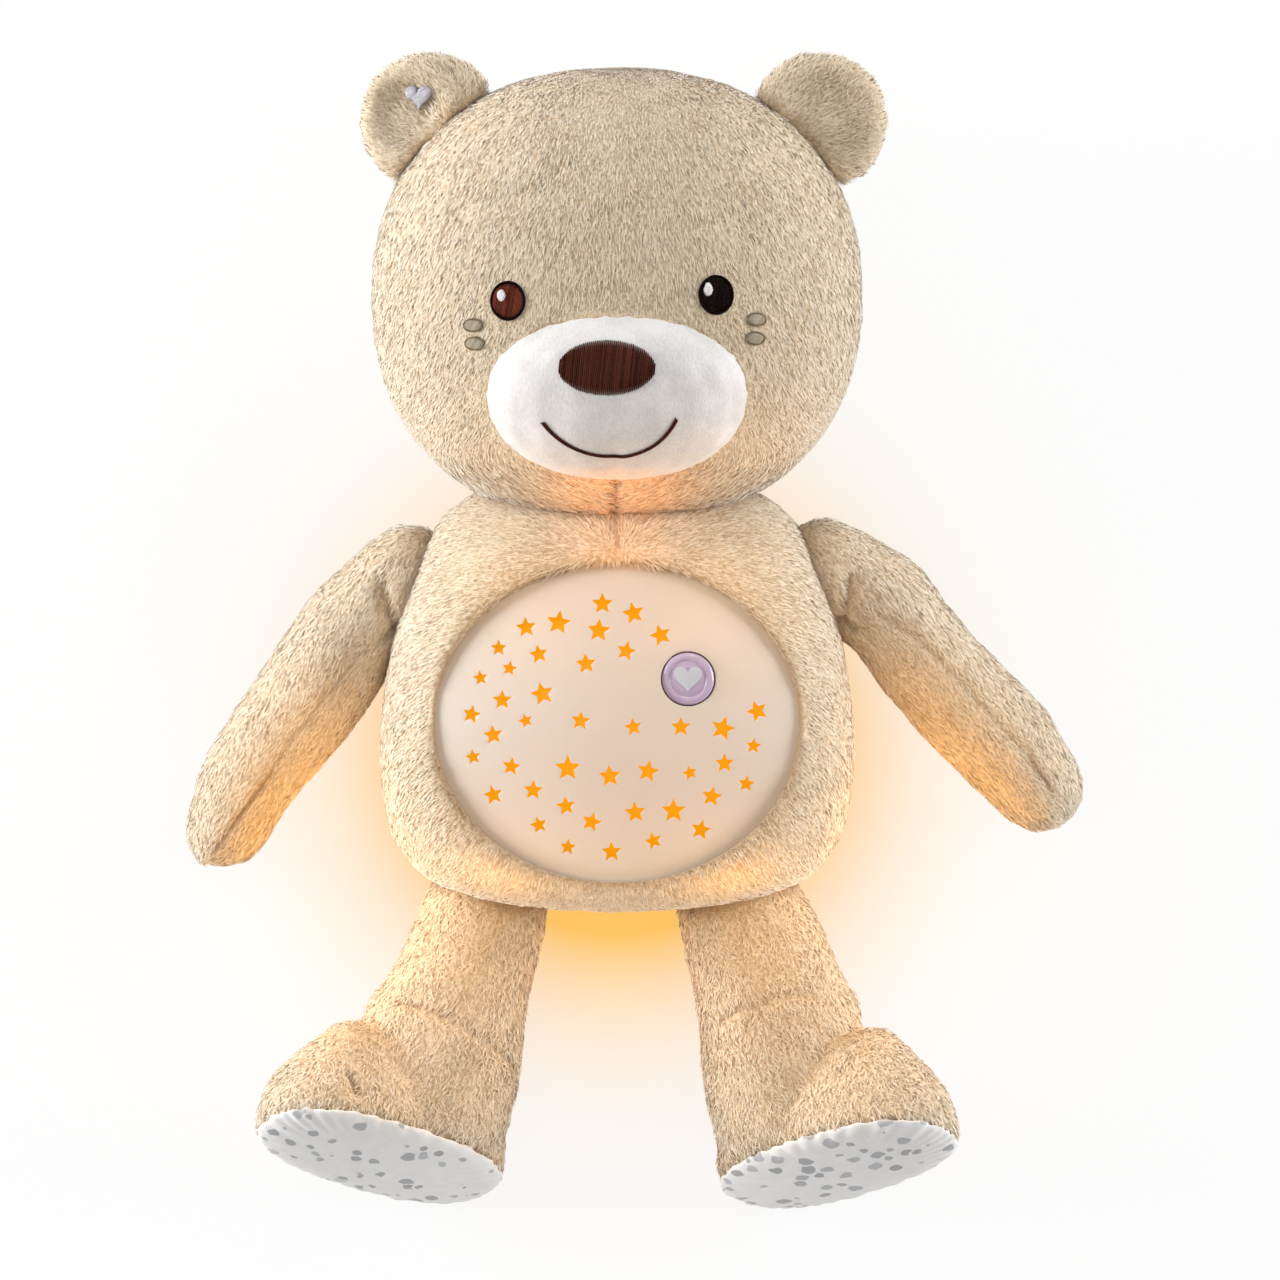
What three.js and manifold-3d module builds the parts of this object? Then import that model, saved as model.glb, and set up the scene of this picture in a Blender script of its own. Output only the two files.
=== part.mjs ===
import * as THREE from "three";
import { mergeVertices } from "three/addons/utils/BufferGeometryUtils.js";
import Module from "manifold-3d";

// A plush bear that lies on its back, with a star lamp in its belly. Lengths are in millimetres.
// +Z goes up out of the belly, +Y runs to the head, +X is to the right seen from above.
// Places are measured from the middle of the lamp, at the height of the surface that carries the bear.

// Clearances and cuts
const seatGap = 0.3; // between two pieces that touch
const jointGap = 0.8; // round a limb's root, which turns in the torso
const socketNeckShare = 0.8; // how narrow a socket starts inside its ball
const socketStartShare = 0.25; // where it is full, along the limb's first length
const restCut = 0.5; // depth of the flats that the bear lies on
const cutOverrun = 3; // how far a cutting shape runs past what it cuts
const cutBlock = 600; // side of a block that cuts a whole piece
const weldDistance = 0.0005; // corners nearer than this are one corner

// Torso
const torsoHalfWidth = 77.2;
const torsoMidHeight = 45;
const torsoFrontDepth = 50.5;
const torsoBelowLamp = 61.7;
const torsoAboveLamp = 88;
const torsoFrontPower = 2.6;
const torsoBackPower = 7;
const restAboveLamp = 45; // the origin, on the flat of the back
// Along the torso from its lower end, then half width, front depth and back depth
const torsoShares = [
  [0.006, 0.24, 0.28, 0.26],
  [0.018, 0.43, 0.45, 0.5],
  [0.034, 0.6, 0.6, 0.75],
  [0.066, 0.78, 0.77, 0.97],
  [0.112, 0.88, 0.87, 1],
  [0.175, 0.955, 0.935, 1],
  [0.27, 0.995, 0.985, 1],
  [0.372, 1, 1, 1],
  [0.48, 0.985, 1, 1],
  [0.6, 0.945, 0.965, 1],
  [0.71, 0.875, 0.885, 1],
  [0.79, 0.815, 0.79, 1],
  [0.857, 0.745, 0.65, 0.94],
  [0.913, 0.61, 0.48, 0.78],
  [0.96, 0.44, 0.3, 0.55],
];

// Head
const headHalfWidth = 80.2;
const headHalfHeight = 74.8;
const headMidHeight = 56;
const headFrontDepth = 58;
const headPower = 2.25;
const neckTuck = 23; // how far the torso's upper end runs under the chin

// Ears
const earRadius = 22.5;
const earHalfThickness = 9.5;
const earRise = 4; // above the head's mid height
const earUpShare = 0.765;
const earAcrossShares = { left: 0.765, right: 0.82 };
const motifHalfWidth = 4.4;
const motifPlaceShares = [-0.2, 0.3];

// Muzzle and embroidery
const muzzleHalfWidth = 43;
const muzzleHalfHeight = 28.3;
const muzzleDepth = 25;
const muzzlePower = 2.15;
const muzzleTip = 19.7; // degrees
const muzzleDownShare = 0.433;
const muzzleForwardShare = 0.79;
const stitchThickness = 1.2;
const noseHalfWidth = 15.7;
const noseHalfHeight = 8.8;
const nosePlaceShares = [-0.06, 0.28];
const mouthHalfWidth = 21.6;
const mouthSag = 11.3;
const mouthStroke = 1.5;
const mouthPlaceShares = [0, -0.72];
const eyeHalfWidth = 5.4;
const eyeHalfHeight = 6.1;
const eyePlaceShares = { left: [-0.44, -0.03], right: [0.4, -0.007] };
const cheekHalfWidth = 2.9;
const cheekHalfHeight = 2;
const cheekPlaceShares = {
  left_upper: [-0.581, -0.136],
  left_lower: [-0.575, -0.215],
  right_upper: [0.564, -0.112],
  right_lower: [0.557, -0.194],
};

// Arms
const armLength = 118;
const armHalfWidth = 18.7;
const shoulderAcrossShare = 0.88;
const shoulderHeightShare = 0.89;
const armTurn = 55; // degrees, from the side of the body up
const armRadiusShares = [0.93, 0.97, 1, 0.99, 0.95, 0.8];
const armHeightShares = [1, 0.88, 0.75, 0.62, 0.5, 0.43]; // of the shoulder's height
// Outward and downward from the shoulder, of the arm's length
const armShares = {
  left: [[0, 0], [0.16, 0.15], [0.255, 0.28], [0.36, 0.43], [0.44, 0.57], [0.5, 0.71]],
  right: [[0, 0], [0.185, 0.09], [0.28, 0.21], [0.4, 0.36], [0.505, 0.475], [0.6, 0.6]],
};
const shoulderUpShares = { left: 0.545, right: 0.568 };

// Legs and feet
const legLength = 86; // from the hip to the foot's middle
const legHalfWidth = 23;
const hipClear = 1; // between the hip's root and the surface
const hipDownShare = 1.01;
const legTurn = 60; // degrees that the hip's socket opens; the joint stops at 54
const legRadiusShares = [0.9, 1.03, 1.12, 1.1];
const footHalfLength = 43.5;
const footHalfWidth = 27;
const footHeight = 36;
const soleBulge = 6;
const footMidHeight = 32;
const footPower = 2.4;
const kneeShare = 0.3; // along the leg from the hip to the foot's middle
const shinShare = 0.62;
const ankleShare = 0.8;
const heelShare = 0.33; // of the foot's half length, behind its middle
const hipAcrossShares = { left: 0.56, right: 0.52 };
// The foot's middle from the hip, by the leg's length
const footShares = { left: [0.4058, 0.9186], right: [0.379, 0.9488] };
// How the foot's toe rises and leans and its sole tips, in degrees
const footTurns = {
  left: { toeRise: 26.4, toeLean: 18.7, soleTip: 23.6 },
  right: { toeRise: 33, toeLean: 19.8, soleTip: 21 },
};

// Star plate and the parts right behind it
const plateHalfLength = 59.3;
const plateHalfHeight = 51.5;
const plateEdgeHeight = 81;
const plateRise = 13;
const plateWall = 2.2;
const plateTuck = 3; // width of the plate's edge under the plush
const diffuserWall = 1.4;
const diffuserRise = 11.5;
const starInnerShare = 0.46;
// Each star: place across and up the plate, outer radius by the plate's half length, turn in degrees
const starShares = [
  [-0.08, 0.76, 0.061, 0], [0.09, 0.7, 0.064, 12], [-0.32, 0.64, 0.07, -8], [-0.5, 0.61, 0.059, 6],
  [-0.1, 0.59, 0.067, -4], [0.24, 0.56, 0.062, 18], [-0.65, 0.48, 0.047, 0], [-0.43, 0.44, 0.055, 10],
  [0.05, 0.46, 0.057, -14], [-0.17, 0.38, 0.059, 5], [-0.59, 0.35, 0.044, -10], [-0.75, 0.29, 0.044, 8],
  [-0.41, 0.19, 0.067, 14], [-0.63, 0.15, 0.056, 0], [-0.8, 0.06, 0.053, -12], [-0.5, 0.02, 0.042, 20],
  [-0.2, 0.02, 0.055, -6], [0.09, -0.02, 0.051, 9], [0.35, -0.02, 0.056, 0], [0.58, -0.03, 0.07, -15],
  [0.77, 0.08, 0.061, 22], [-0.68, -0.07, 0.056, 7], [0.75, -0.14, 0.045, -5], [-0.79, -0.21, 0.045, 11],
  [-0.58, -0.27, 0.053, -9], [-0.27, -0.28, 0.074, 0], [-0.04, -0.33, 0.064, 4], [0.17, -0.3, 0.064, -11],
  [0.4, -0.31, 0.043, 16], [0.59, -0.25, 0.055, 0], [0.71, -0.38, 0.048, -7], [-0.68, -0.45, 0.056, 13],
  [-0.46, -0.42, 0.056, -3], [-0.28, -0.52, 0.055, 8], [-0.14, -0.62, 0.058, -16], [0.1, -0.56, 0.062, 5],
  [0.31, -0.55, 0.07, 0], [0.52, -0.46, 0.059, -10], [-0.43, -0.64, 0.05, 15], [-0.27, -0.78, 0.047, -6],
  [-0.03, -0.81, 0.058, 2], [0.2, -0.74, 0.05, 19], [0.46, -0.67, 0.059, -12],
];

// Heart button
const buttonPlaceShares = [0.39, 0.283];
const buttonRadius = 8.6;
const buttonProud = 0.8;
const buttonDome = 0.8;
const buttonCrownShare = 0.8; // flat middle of the button's top
const buttonTravel = 1.2;
const buttonSkirtWidth = 1.2;
const buttonSkirtHeight = 1.2;
const buttonStemRadius = 2.2;
const collarWall = 1.8;
const collarDepth = 4;
const heartHalfWidth = 4.9;
const heartDepth = 0.7;
const heartProud = 0.15;
const buttonSpringRadius = 4.6;
const springWire = 0.35;
const buttonSpringHeight = 5;
const buttonSpringTurns = 4;
const buttonBoardHalfWidth = 6;
const buttonPostRadius = 1.8;
const boardWall = 1.6;
const switchHalfSize = 3;
const switchHeight = 2.6;
const switchBodyShare = 0.7; // of the switch's height, below its plunger

// Rear housing
const tubInsetAcross = 3.3; // the tub's sides from the plate's outline
const tubInsetUp = 4.5;
const tubWall = 2.2;
const tubRearHeight = 6;
const flangeWall = 2.5;
const ledgeWidth = 2.2; // inside the tub's mouth, for the diffuser
const ledgeDepth = 2.3;
const columnRadius = 3.7;
const columnAcrossShare = 0.66;
const columnUpShare = 0.52;
const columnTop = 58;
const columnCap = 3.5;
const postRadius = 3.2;
const postBite = 9; // depth of the screw hole in a post
const screwShankRadius = 1.3;
const screwHeadRadius = 2.4;
const screwHeadHeight = 1.8;
const screwShankLength = 11;

// Battery bay, its door and the slide switch, at the rear
const cellRadius = 7.2;
const cellLength = 48.6;
const cellNubRadius = 2.7;
const cellNubLength = 1.4;
const cellPitch = 14.8;
const cellCount = 3;
const bayBelowLamp = 8;
const baySpringRoom = 5.6;
const bayWall = 1.8;
const contactSpringRadius = 3.2;
const contactSpringTurns = 3;
const contactSpringTipShare = 0.7;
const contactPlateWall = 0.5;
const contactPlateHalfSize = 5;
const doorWall = 1.9;
const doorBorder = 3; // beyond the bay's mouth
const doorFrameWall = 0.9;
const doorScrewColumn = 4;
const doorScrewLength = 7;
const doorRibCount = 4;
const doorRibPitch = 1.8;
const doorRibSize = 0.5;
const knobAboveDoor = 4.2;
const knobHalfLength = 4.5;
const knobHalfWidth = 2.2;
const knobWall = 1.4;
const knobStemHalfWidth = 1.3;
const knobTravel = 3.5;
const switchBodyHalfLength = 9;
const switchBodyHalfWidth = 3.2;
const switchBodyHeight = 5;

// Main board, lights and speaker
const boardHalfLength = 23;
const boardHalfHeight = 20;
const boardLeft = 17; // middle of the board, left of the lamp's middle
const boardStandoff = 5;
const boardPostRadius = 2.5;
const boardPostInset = 4;
const ledRadius = 2.5;
const ledHeight = 8.6;
const ledFlange = 0.5;
const ledCount = 3;
const ledPitch = 13;
const speakerRadius = 16;
const speakerRim = 2;
const speakerMagnetRadius = 10;
const speakerHeight = 11;
const speakerConeDepth = 4;
const speakerRight = 25;
const speakerDown = 3;
const leadRadius = 0.8;

// Back opening and its flap
const openingBesideDoor = 4.35;
const openingBelowDoor = 1.9;
const openingAboveKnob = 1.3;
const backLayer = 5.7; // plush and lining between the surface and the housing
const flapRecess = 4;
const flapWall = 2;
const flapDrop = 1; // the flap's outer face above the surface
const flapSideBorder = 6;
const flapTopBorder = 6;
const tapeWidth = 9;
const tapeWall = 0.4;
const flapBottomBorder = 11;
const flapCorner = 6;

// Facet counts
const bodySides = 32;
const limbSides = 16;
const trimSides = 20;
const tubSides = 32;
const smallSides = 10;
const socketSides = 12;
const fanSteps = 5;
const domeRings = 3;
const coilStepsPerTurn = 8;
const leadSides = 6;
const leadSteps = 16;
const wireSides = 5;

const degree = Math.PI / 180;
const wasm = await Module();
wasm.setup();

// Mesh and solid helpers

// Turns the faces of an indexed geometry outwards where they point inwards.
function facingOut(geometry) {
  const place = geometry.getAttribute("position");
  const index = geometry.index.array;
  const [a, b, c] = [new THREE.Vector3(), new THREE.Vector3(), new THREE.Vector3()];
  let volume = 0;
  for (let i = 0; i < index.length; i += 3) {
    a.fromBufferAttribute(place, index[i]);
    b.fromBufferAttribute(place, index[i + 1]);
    c.fromBufferAttribute(place, index[i + 2]);
    volume += a.dot(b.cross(c));
  }
  if (volume < 0) {
    for (let i = 0; i < index.length; i += 3) [index[i], index[i + 1]] = [index[i + 1], index[i]];
  }
  return geometry;
}

function toSolid(geometry) {
  const bare = geometry.clone();
  bare.deleteAttribute("normal");
  bare.deleteAttribute("uv");
  const merged = facingOut(mergeVertices(bare, weldDistance));
  return new wasm.Manifold(
    new wasm.Mesh({
      numProp: 3,
      vertProperties: new Float32Array(merged.getAttribute("position").array),
      triVerts: new Uint32Array(merged.index.array),
    }),
  );
}

function toGeometry(solid) {
  const mesh = solid.getMesh();
  const geometry = new THREE.BufferGeometry();
  geometry.setAttribute("position", new THREE.BufferAttribute(new Float32Array(mesh.vertProperties), 3));
  geometry.setIndex(new THREE.BufferAttribute(new Uint32Array(mesh.triVerts), 1));
  geometry.computeVertexNormals();
  return geometry;
}

function join(...solids) {
  return solids.reduce((whole, next) => whole.add(next));
}

function cut(solid, ...tools) {
  return tools.reduce((whole, tool) => whole.subtract(tool), solid);
}

// Simple solids, each placed by the middle of its lower face

function block(width, depth, height, x, y, bottom) {
  return toSolid(new THREE.BoxGeometry(width, depth, height).translate(x, y, bottom + height / 2));
}

function drum(radius, height, x, y, bottom, sides = trimSides) {
  const shape = new THREE.CylinderGeometry(radius, radius, height, sides).rotateX(90 * degree);
  return toSolid(shape.translate(x, y, bottom + height / 2));
}

function ovalSlab(halfLength, halfHeight, height, bottom) {
  const shape = new THREE.CylinderGeometry(1, 1, height, tubSides).rotateX(90 * degree);
  return toSolid(shape.scale(halfLength, halfHeight, 1).translate(0, 0, bottom + height / 2));
}

function roundedSlab(halfWidth, low, high, height, corner, bottom) {
  const shape = new THREE.Shape();
  shape.moveTo(-halfWidth + corner, low);
  shape.absarc(halfWidth - corner, low + corner, corner, -90 * degree, 0);
  shape.absarc(halfWidth - corner, high - corner, corner, 0, 90 * degree);
  shape.absarc(-halfWidth + corner, high - corner, corner, 90 * degree, 180 * degree);
  shape.absarc(-halfWidth + corner, low + corner, corner, 180 * degree, 270 * degree);
  return toSolid(prism(shape, height, bottom));
}

function prism(shape, height, bottom) {
  const settings = { depth: height, bevelEnabled: false, curveSegments: smallSides / 2 };
  return new THREE.ExtrudeGeometry(shape, settings).translate(0, 0, bottom);
}

// A turned solid whose axis is Z. Its profile, of radius and height, starts and ends on the axis.
function turned(profile, sides) {
  const points = profile.map(([radius, height]) => new THREE.Vector2(radius, height));
  return new THREE.LatheGeometry(points, sides).rotateX(90 * degree);
}

function roundSection(radius, sides) {
  const points = Array.from({ length: sides }, (_, k) => {
    const angle = (360 * degree * k) / sides;
    return new THREE.Vector2(radius * Math.cos(angle), radius * Math.sin(angle));
  });
  return new THREE.Shape(points);
}

function tube(points, radius, steps) {
  const extrudePath = new THREE.CatmullRomCurve3(points);
  const settings = { extrudePath, steps, bevelEnabled: false };
  return new THREE.ExtrudeGeometry(roundSection(radius, leadSides), settings);
}

// Soft forms

// Reach of a unit superellipse from its middle, in the direction of an angle.
function superReach(angle, power) {
  const across = Math.abs(Math.cos(angle)) ** power;
  const up = Math.abs(Math.sin(angle)) ** power;
  return (across + up) ** (-1 / power);
}

// A closed skin through rings of as many points each, with a point at both ends.
function loft(rings, startPole, endPole) {
  const count = rings[0].length;
  const corners = [startPole, ...rings.flat(), endPole];
  const last = corners.length - 1;
  const index = [];
  for (let k = 0; k < count; k++) {
    const next = (k + 1) % count;
    index.push(0, 1 + next, 1 + k);
    for (let r = 0; r < rings.length - 1; r++) {
      const [a, b] = [1 + r * count + k, 1 + r * count + next];
      index.push(a, b, a + count, b, b + count, a + count);
    }
    index.push(last, last - count + k, last - count + next);
  }
  const geometry = new THREE.BufferGeometry().setFromPoints(corners);
  geometry.setIndex(index);
  return facingOut(geometry);
}

// A ring in the XZ plane with its own front and back.
function bodyRing(y, middle, halfWidth, front, back, frontPower, backPower, sides) {
  return Array.from({ length: sides }, (_, k) => {
    const angle = (360 * degree * k) / sides;
    const [depth, power] = Math.sin(angle) < 0 ? [back, backPower] : [front, frontPower];
    const reach = superReach(angle, power);
    return new THREE.Vector3(
      halfWidth * Math.cos(angle) * reach, y, middle + depth * Math.sin(angle) * reach,
    );
  });
}

// An egg whose length lies along Y. Its front and back depths can differ.
function egg({ halfWidth, halfLength, front, back = front, power = 2, sides = trimSides, rings = 10 }) {
  const skin = [];
  for (let i = 1; i < rings; i++) {
    const along = -Math.cos((180 * degree * i) / rings);
    const size = (1 - Math.abs(along) ** power) ** (1 / power);
    skin.push(
      bodyRing(along * halfLength, 0, halfWidth * size, front * size, back * size, power, power, sides),
    );
  }
  return loft(skin, new THREE.Vector3(0, -halfLength, 0), new THREE.Vector3(0, halfLength, 0));
}

// A limb along a path: a ball at its root, then sections that swell and taper, and a round end.
function limb(path, radii, sides = limbSides, capRings = 4) {
  const stations = [];
  const end = path.length - 1;
  const first = path[1].clone().sub(path[0]).normalize();
  const final = path[end].clone().sub(path[end - 1]).normalize();
  const [rootRadius, endRadius] = [radii[0], radii[end]];
  for (let k = capRings - 1; k > 0; k--) {
    const angle = (90 * degree * k) / capRings;
    const middle = path[0].clone().addScaledVector(first, -rootRadius * Math.sin(angle));
    stations.push([middle, first, rootRadius * Math.cos(angle)]);
  }
  path.forEach((middle, i) => {
    const before = path[Math.max(i - 1, 0)];
    const after = path[Math.min(i + 1, end)];
    const heading = i === 0 ? first : after.clone().sub(before).normalize();
    stations.push([middle, heading, radii[i]]);
  });
  for (let k = 1; k < capRings; k++) {
    const angle = (90 * degree * k) / capRings;
    const middle = path[end].clone().addScaledVector(final, endRadius * Math.sin(angle));
    stations.push([middle, final, endRadius * Math.cos(angle)]);
  }
  const rings = stations.map(([middle, heading, radius]) => limbRing(middle, heading, radius, sides));
  const root = path[0].clone().addScaledVector(first, -rootRadius);
  const tip = path[end].clone().addScaledVector(final, endRadius);
  return loft(rings, root, tip);
}

function limbRing(middle, heading, radius, sides) {
  const side = new THREE.Vector3().crossVectors(heading, new THREE.Vector3(0, 0, 1)).normalize();
  const up = new THREE.Vector3().crossVectors(side, heading);
  return Array.from({ length: sides }, (_, k) => {
    const angle = (360 * degree * k) / sides;
    return middle
      .clone()
      .addScaledVector(side, radius * Math.cos(angle))
      .addScaledVector(up, radius * Math.sin(angle));
  });
}

// The room that a limb's root needs in the torso: a ball, the limb's near part at both ends of its turn,
// and the fan that its sides sweep between them.
function socket({ points, radii, axis, turn }) {
  const flatsReach = 1 / Math.cos((180 * degree) / socketSides); // so that the flats clear the round limb
  const clear = radii.slice(0, 3).map((radius) => (radius + jointGap) * flatsReach);
  const root = points[0];
  const start = root.clone().lerp(points[1], socketStartShare);
  const nearRadii = [clear[0] * socketNeckShare, ...clear];
  const near = limb([root, start, ...points.slice(1, 3)], nearRadii, socketSides, 2);
  const matrix = new THREE.Matrix4()
    .makeTranslation(root.x, root.y, root.z)
    .multiply(new THREE.Matrix4().makeRotationAxis(axis, turn * degree))
    .multiply(new THREE.Matrix4().makeTranslation(-root.x, -root.y, -root.z));
  const ball = new THREE.SphereGeometry(clear[0], limbSides, limbSides / 2);
  ball.translate(root.x, root.y, root.z);
  const fan = fanOf(points.slice(0, 3), clear, axis, turn);
  return join(toSolid(ball), toSolid(near), toSolid(near.clone().applyMatrix4(matrix)), toSolid(fan));
}

function fanOf([root, ...beyond], [rootRadius, ...radii], axis, turn) {
  const level = (point) => {
    const offset = point.clone().sub(root);
    const height = offset.dot(axis);
    return [offset.addScaledVector(axis, -height), height];
  };
  const forward = level(beyond[0])[0].normalize();
  const sideways = new THREE.Vector3().crossVectors(axis, forward);
  const spans = beyond.map((point, i) => [level(point)[0].length(), level(point)[1], radii[i]]);
  const upper = spans.map(([reach, height, radius]) => [reach, height + radius]);
  const lower = spans.map(([reach, height, radius]) => [reach, height - radius]);
  const [farReach, farHeight, farRadius] = spans.at(-1);
  const nearReach = rootRadius * socketStartShare;
  const profile = [
    [nearReach, -rootRadius],
    ...lower,
    [farReach + farRadius, farHeight],
    ...upper.reverse(),
    [nearReach, rootRadius],
  ];
  const place = (angle, [reach, height]) =>
    root
      .clone()
      .addScaledVector(forward, reach * Math.cos(angle))
      .addScaledVector(sideways, reach * Math.sin(angle))
      .addScaledVector(axis, height);
  const angles = Array.from({ length: fanSteps + 1 }, (_, k) => (turn * degree * k) / fanSteps);
  const rings = angles.map((angle) => profile.map((corner) => place(angle, corner)));
  const middle = [farReach / 2, farHeight / 2];
  return loft(rings, place(0, middle), place(turn * degree, middle));
}

function aboveFloor(solid) {
  return cut(solid, block(cutBlock, cutBlock, cutBlock, 0, 0, -cutBlock));
}

// A stitched or glued patch: a skin of even thickness over a form, as wide as its outline.
function patch(formAt, outline, middleHeight) {
  const skin = cut(toSolid(formAt(seatGap + stitchThickness)), toSolid(formAt(seatGap)));
  return skin.intersect(toSolid(prism(outline, cutBlock, middleHeight)));
}

function ovalOutline([x, y], halfWidth, halfHeight) {
  const shape = new THREE.Shape();
  shape.absellipse(x, y, halfWidth, halfHeight, 0, 360 * degree);
  return new THREE.Shape(shape.getPoints(smallSides).slice(0, -1));
}

// A heart as wide as twice its half width, about its own middle.
function heartOutline([x, y], halfWidth) {
  const unit = halfWidth / 16; // the heart curve below spans 16 each way
  const points = Array.from({ length: trimSides }, (_, k) => {
    const t = (360 * degree * k) / trimSides;
    const up = 13 * Math.cos(t) - 5 * Math.cos(2 * t) - 2 * Math.cos(3 * t) - Math.cos(4 * t) + 2.5;
    return new THREE.Vector2(x + unit * 16 * Math.sin(t) ** 3, y + unit * up);
  });
  return new THREE.Shape(points);
}

// A smile: an arc through both corners of the mouth and its lowest point.
function smileOutline([x, bottom]) {
  const radius = (mouthHalfWidth ** 2 + mouthSag ** 2) / (2 * mouthSag);
  const spread = Math.asin(mouthHalfWidth / radius);
  const middle = bottom + radius;
  const shape = new THREE.Shape();
  shape.absarc(x, middle, radius + mouthStroke / 2, -90 * degree - spread, -90 * degree + spread);
  shape.absarc(x, middle, radius - mouthStroke / 2, -90 * degree + spread, -90 * degree - spread, true);
  return shape;
}

// The model

const bearParts = new THREE.Group();
bearParts.position.y = -restAboveLamp;

const finishes = {
  plush: { color: "#dccbb2", roughness: 0.95 },
  whitePlush: { color: "#eae8e6", roughness: 0.9 },
  darkThread: { color: "#3d1b10", roughness: 0.7 },
  greyThread: { color: "#a99f90", roughness: 0.8 },
  paleThread: { color: "#cfc9d6", roughness: 0.8 },
  sole: { color: "#dcdad6", roughness: 0.85 },
  plate: { color: "#f4e3cd", roughness: 0.45 },
  amber: { color: "#f9a01b", roughness: 0.4 },
  lilac: { color: "#b7a3b6", roughness: 0.3 },
  heart: { color: "#c3c7d2", roughness: 0.35 },
  whitePlastic: { color: "#e9e7e2", roughness: 0.5 },
  board: { color: "#2f6b3c", roughness: 0.5 },
  blackPlastic: { color: "#26262a", roughness: 0.5 },
  steel: { color: "#b9bcc0", roughness: 0.3, metalness: 1 },
  cell: { color: "#4b5a63", roughness: 0.35, metalness: 0.4 },
  tape: { color: "#e7e0d3", roughness: 0.95 },
  lead: { color: "#b8322c", roughness: 0.5 },
};

function add(name, shape, finish) {
  const geometry = shape.isBufferGeometry ? shape : toGeometry(shape);
  const mesh = new THREE.Mesh(geometry, new THREE.MeshStandardMaterial(finishes[finish]));
  mesh.name = name;
  bearParts.add(mesh);
}

// Head, ears and face

const headMiddle = new THREE.Vector3(0, torsoAboveLamp - neckTuck + headHalfHeight, headMidHeight);

function headForm(grow = 0) {
  return egg({
    halfWidth: headHalfWidth + grow,
    halfLength: headHalfHeight + grow,
    front: headFrontDepth + grow,
    back: headMidHeight + restCut + grow,
    power: headPower,
    sides: bodySides,
    rings: 18,
  }).translate(headMiddle.x, headMiddle.y, headMiddle.z);
}

function onHead([acrossShare, upShare]) {
  return [headMiddle.x + headHalfWidth * acrossShare, headMiddle.y + headHalfHeight * upShare];
}

const muzzleMiddle = new THREE.Vector3(
  0,
  headMiddle.y - headHalfHeight * muzzleDownShare,
  headMiddle.z + headFrontDepth * muzzleForwardShare,
);

function muzzleForm(grow = 0) {
  return egg({
    halfWidth: muzzleHalfWidth + grow,
    halfLength: muzzleHalfHeight + grow,
    front: muzzleDepth + grow,
    power: muzzlePower,
    rings: 12,
  })
    .rotateX(muzzleTip * degree)
    .translate(muzzleMiddle.x, muzzleMiddle.y, muzzleMiddle.z);
}

function onMuzzle([acrossShare, upShare]) {
  return [muzzleMiddle.x + muzzleHalfWidth * acrossShare, muzzleMiddle.y + muzzleHalfHeight * upShare];
}

function addHead() {
  add("head", aboveFloor(toSolid(headForm())), "plush");
  add("muzzle", cut(toSolid(muzzleForm()), toSolid(headForm(seatGap))), "whitePlush");
  const noseOutline = ovalOutline(onMuzzle(nosePlaceShares), noseHalfWidth, noseHalfHeight);
  add("nose", patch(muzzleForm, noseOutline, muzzleMiddle.z), "darkThread");
  add("mouth", patch(muzzleForm, smileOutline(onMuzzle(mouthPlaceShares)), muzzleMiddle.z), "darkThread");
  for (const [side, place] of Object.entries(eyePlaceShares)) {
    const outline = ovalOutline(onHead(place), eyeHalfWidth, eyeHalfHeight);
    add("eye_" + side, patch(headForm, outline, headMiddle.z), "darkThread");
  }
  for (const [name, place] of Object.entries(cheekPlaceShares)) {
    const outline = ovalOutline(onHead(place), cheekHalfWidth, cheekHalfHeight);
    add("cheek_mark_" + name, patch(headForm, outline, headMiddle.z), "greyThread");
  }
}

function earMiddle(side) {
  const across = (side === "left" ? -1 : 1) * headHalfWidth * earAcrossShares[side];
  return new THREE.Vector3(across, headMiddle.y + headHalfHeight * earUpShare, headMiddle.z + earRise);
}

function addEars() {
  for (const side of ["left", "right"]) {
    const middle = earMiddle(side);
    const form = (grow) =>
      egg({
        halfWidth: earRadius + grow,
        halfLength: earRadius + grow,
        front: earHalfThickness + grow,
      }).translate(middle.x, middle.y, middle.z);
    add("ear_" + side, cut(toSolid(form(0)), toSolid(headForm(seatGap))), "plush");
    if (side === "left") {
      const [across, up] = motifPlaceShares;
      const place = [middle.x + earRadius * across, middle.y + earRadius * up];
      add("ear_motif", patch(form, heartOutline(place, motifHalfWidth), middle.z), "paleThread");
    }
  }
}

// Arms and legs. Each has a path, radii and the joint that it turns about.

function armOf(side) {
  const sign = side === "left" ? -1 : 1;
  const shoulderX = sign * torsoHalfWidth * shoulderAcrossShare;
  const shoulderY = torsoAboveLamp * shoulderUpShares[side];
  const points = armShares[side].map(([out, down], i) => {
    const height = torsoMidHeight * shoulderHeightShare * armHeightShares[i];
    return new THREE.Vector3(shoulderX + sign * armLength * out, shoulderY - armLength * down, height);
  });
  const radii = armRadiusShares.map((share) => armHalfWidth * share);
  return { points, radii, axis: new THREE.Vector3(0, 0, sign), turn: armTurn };
}

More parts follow.
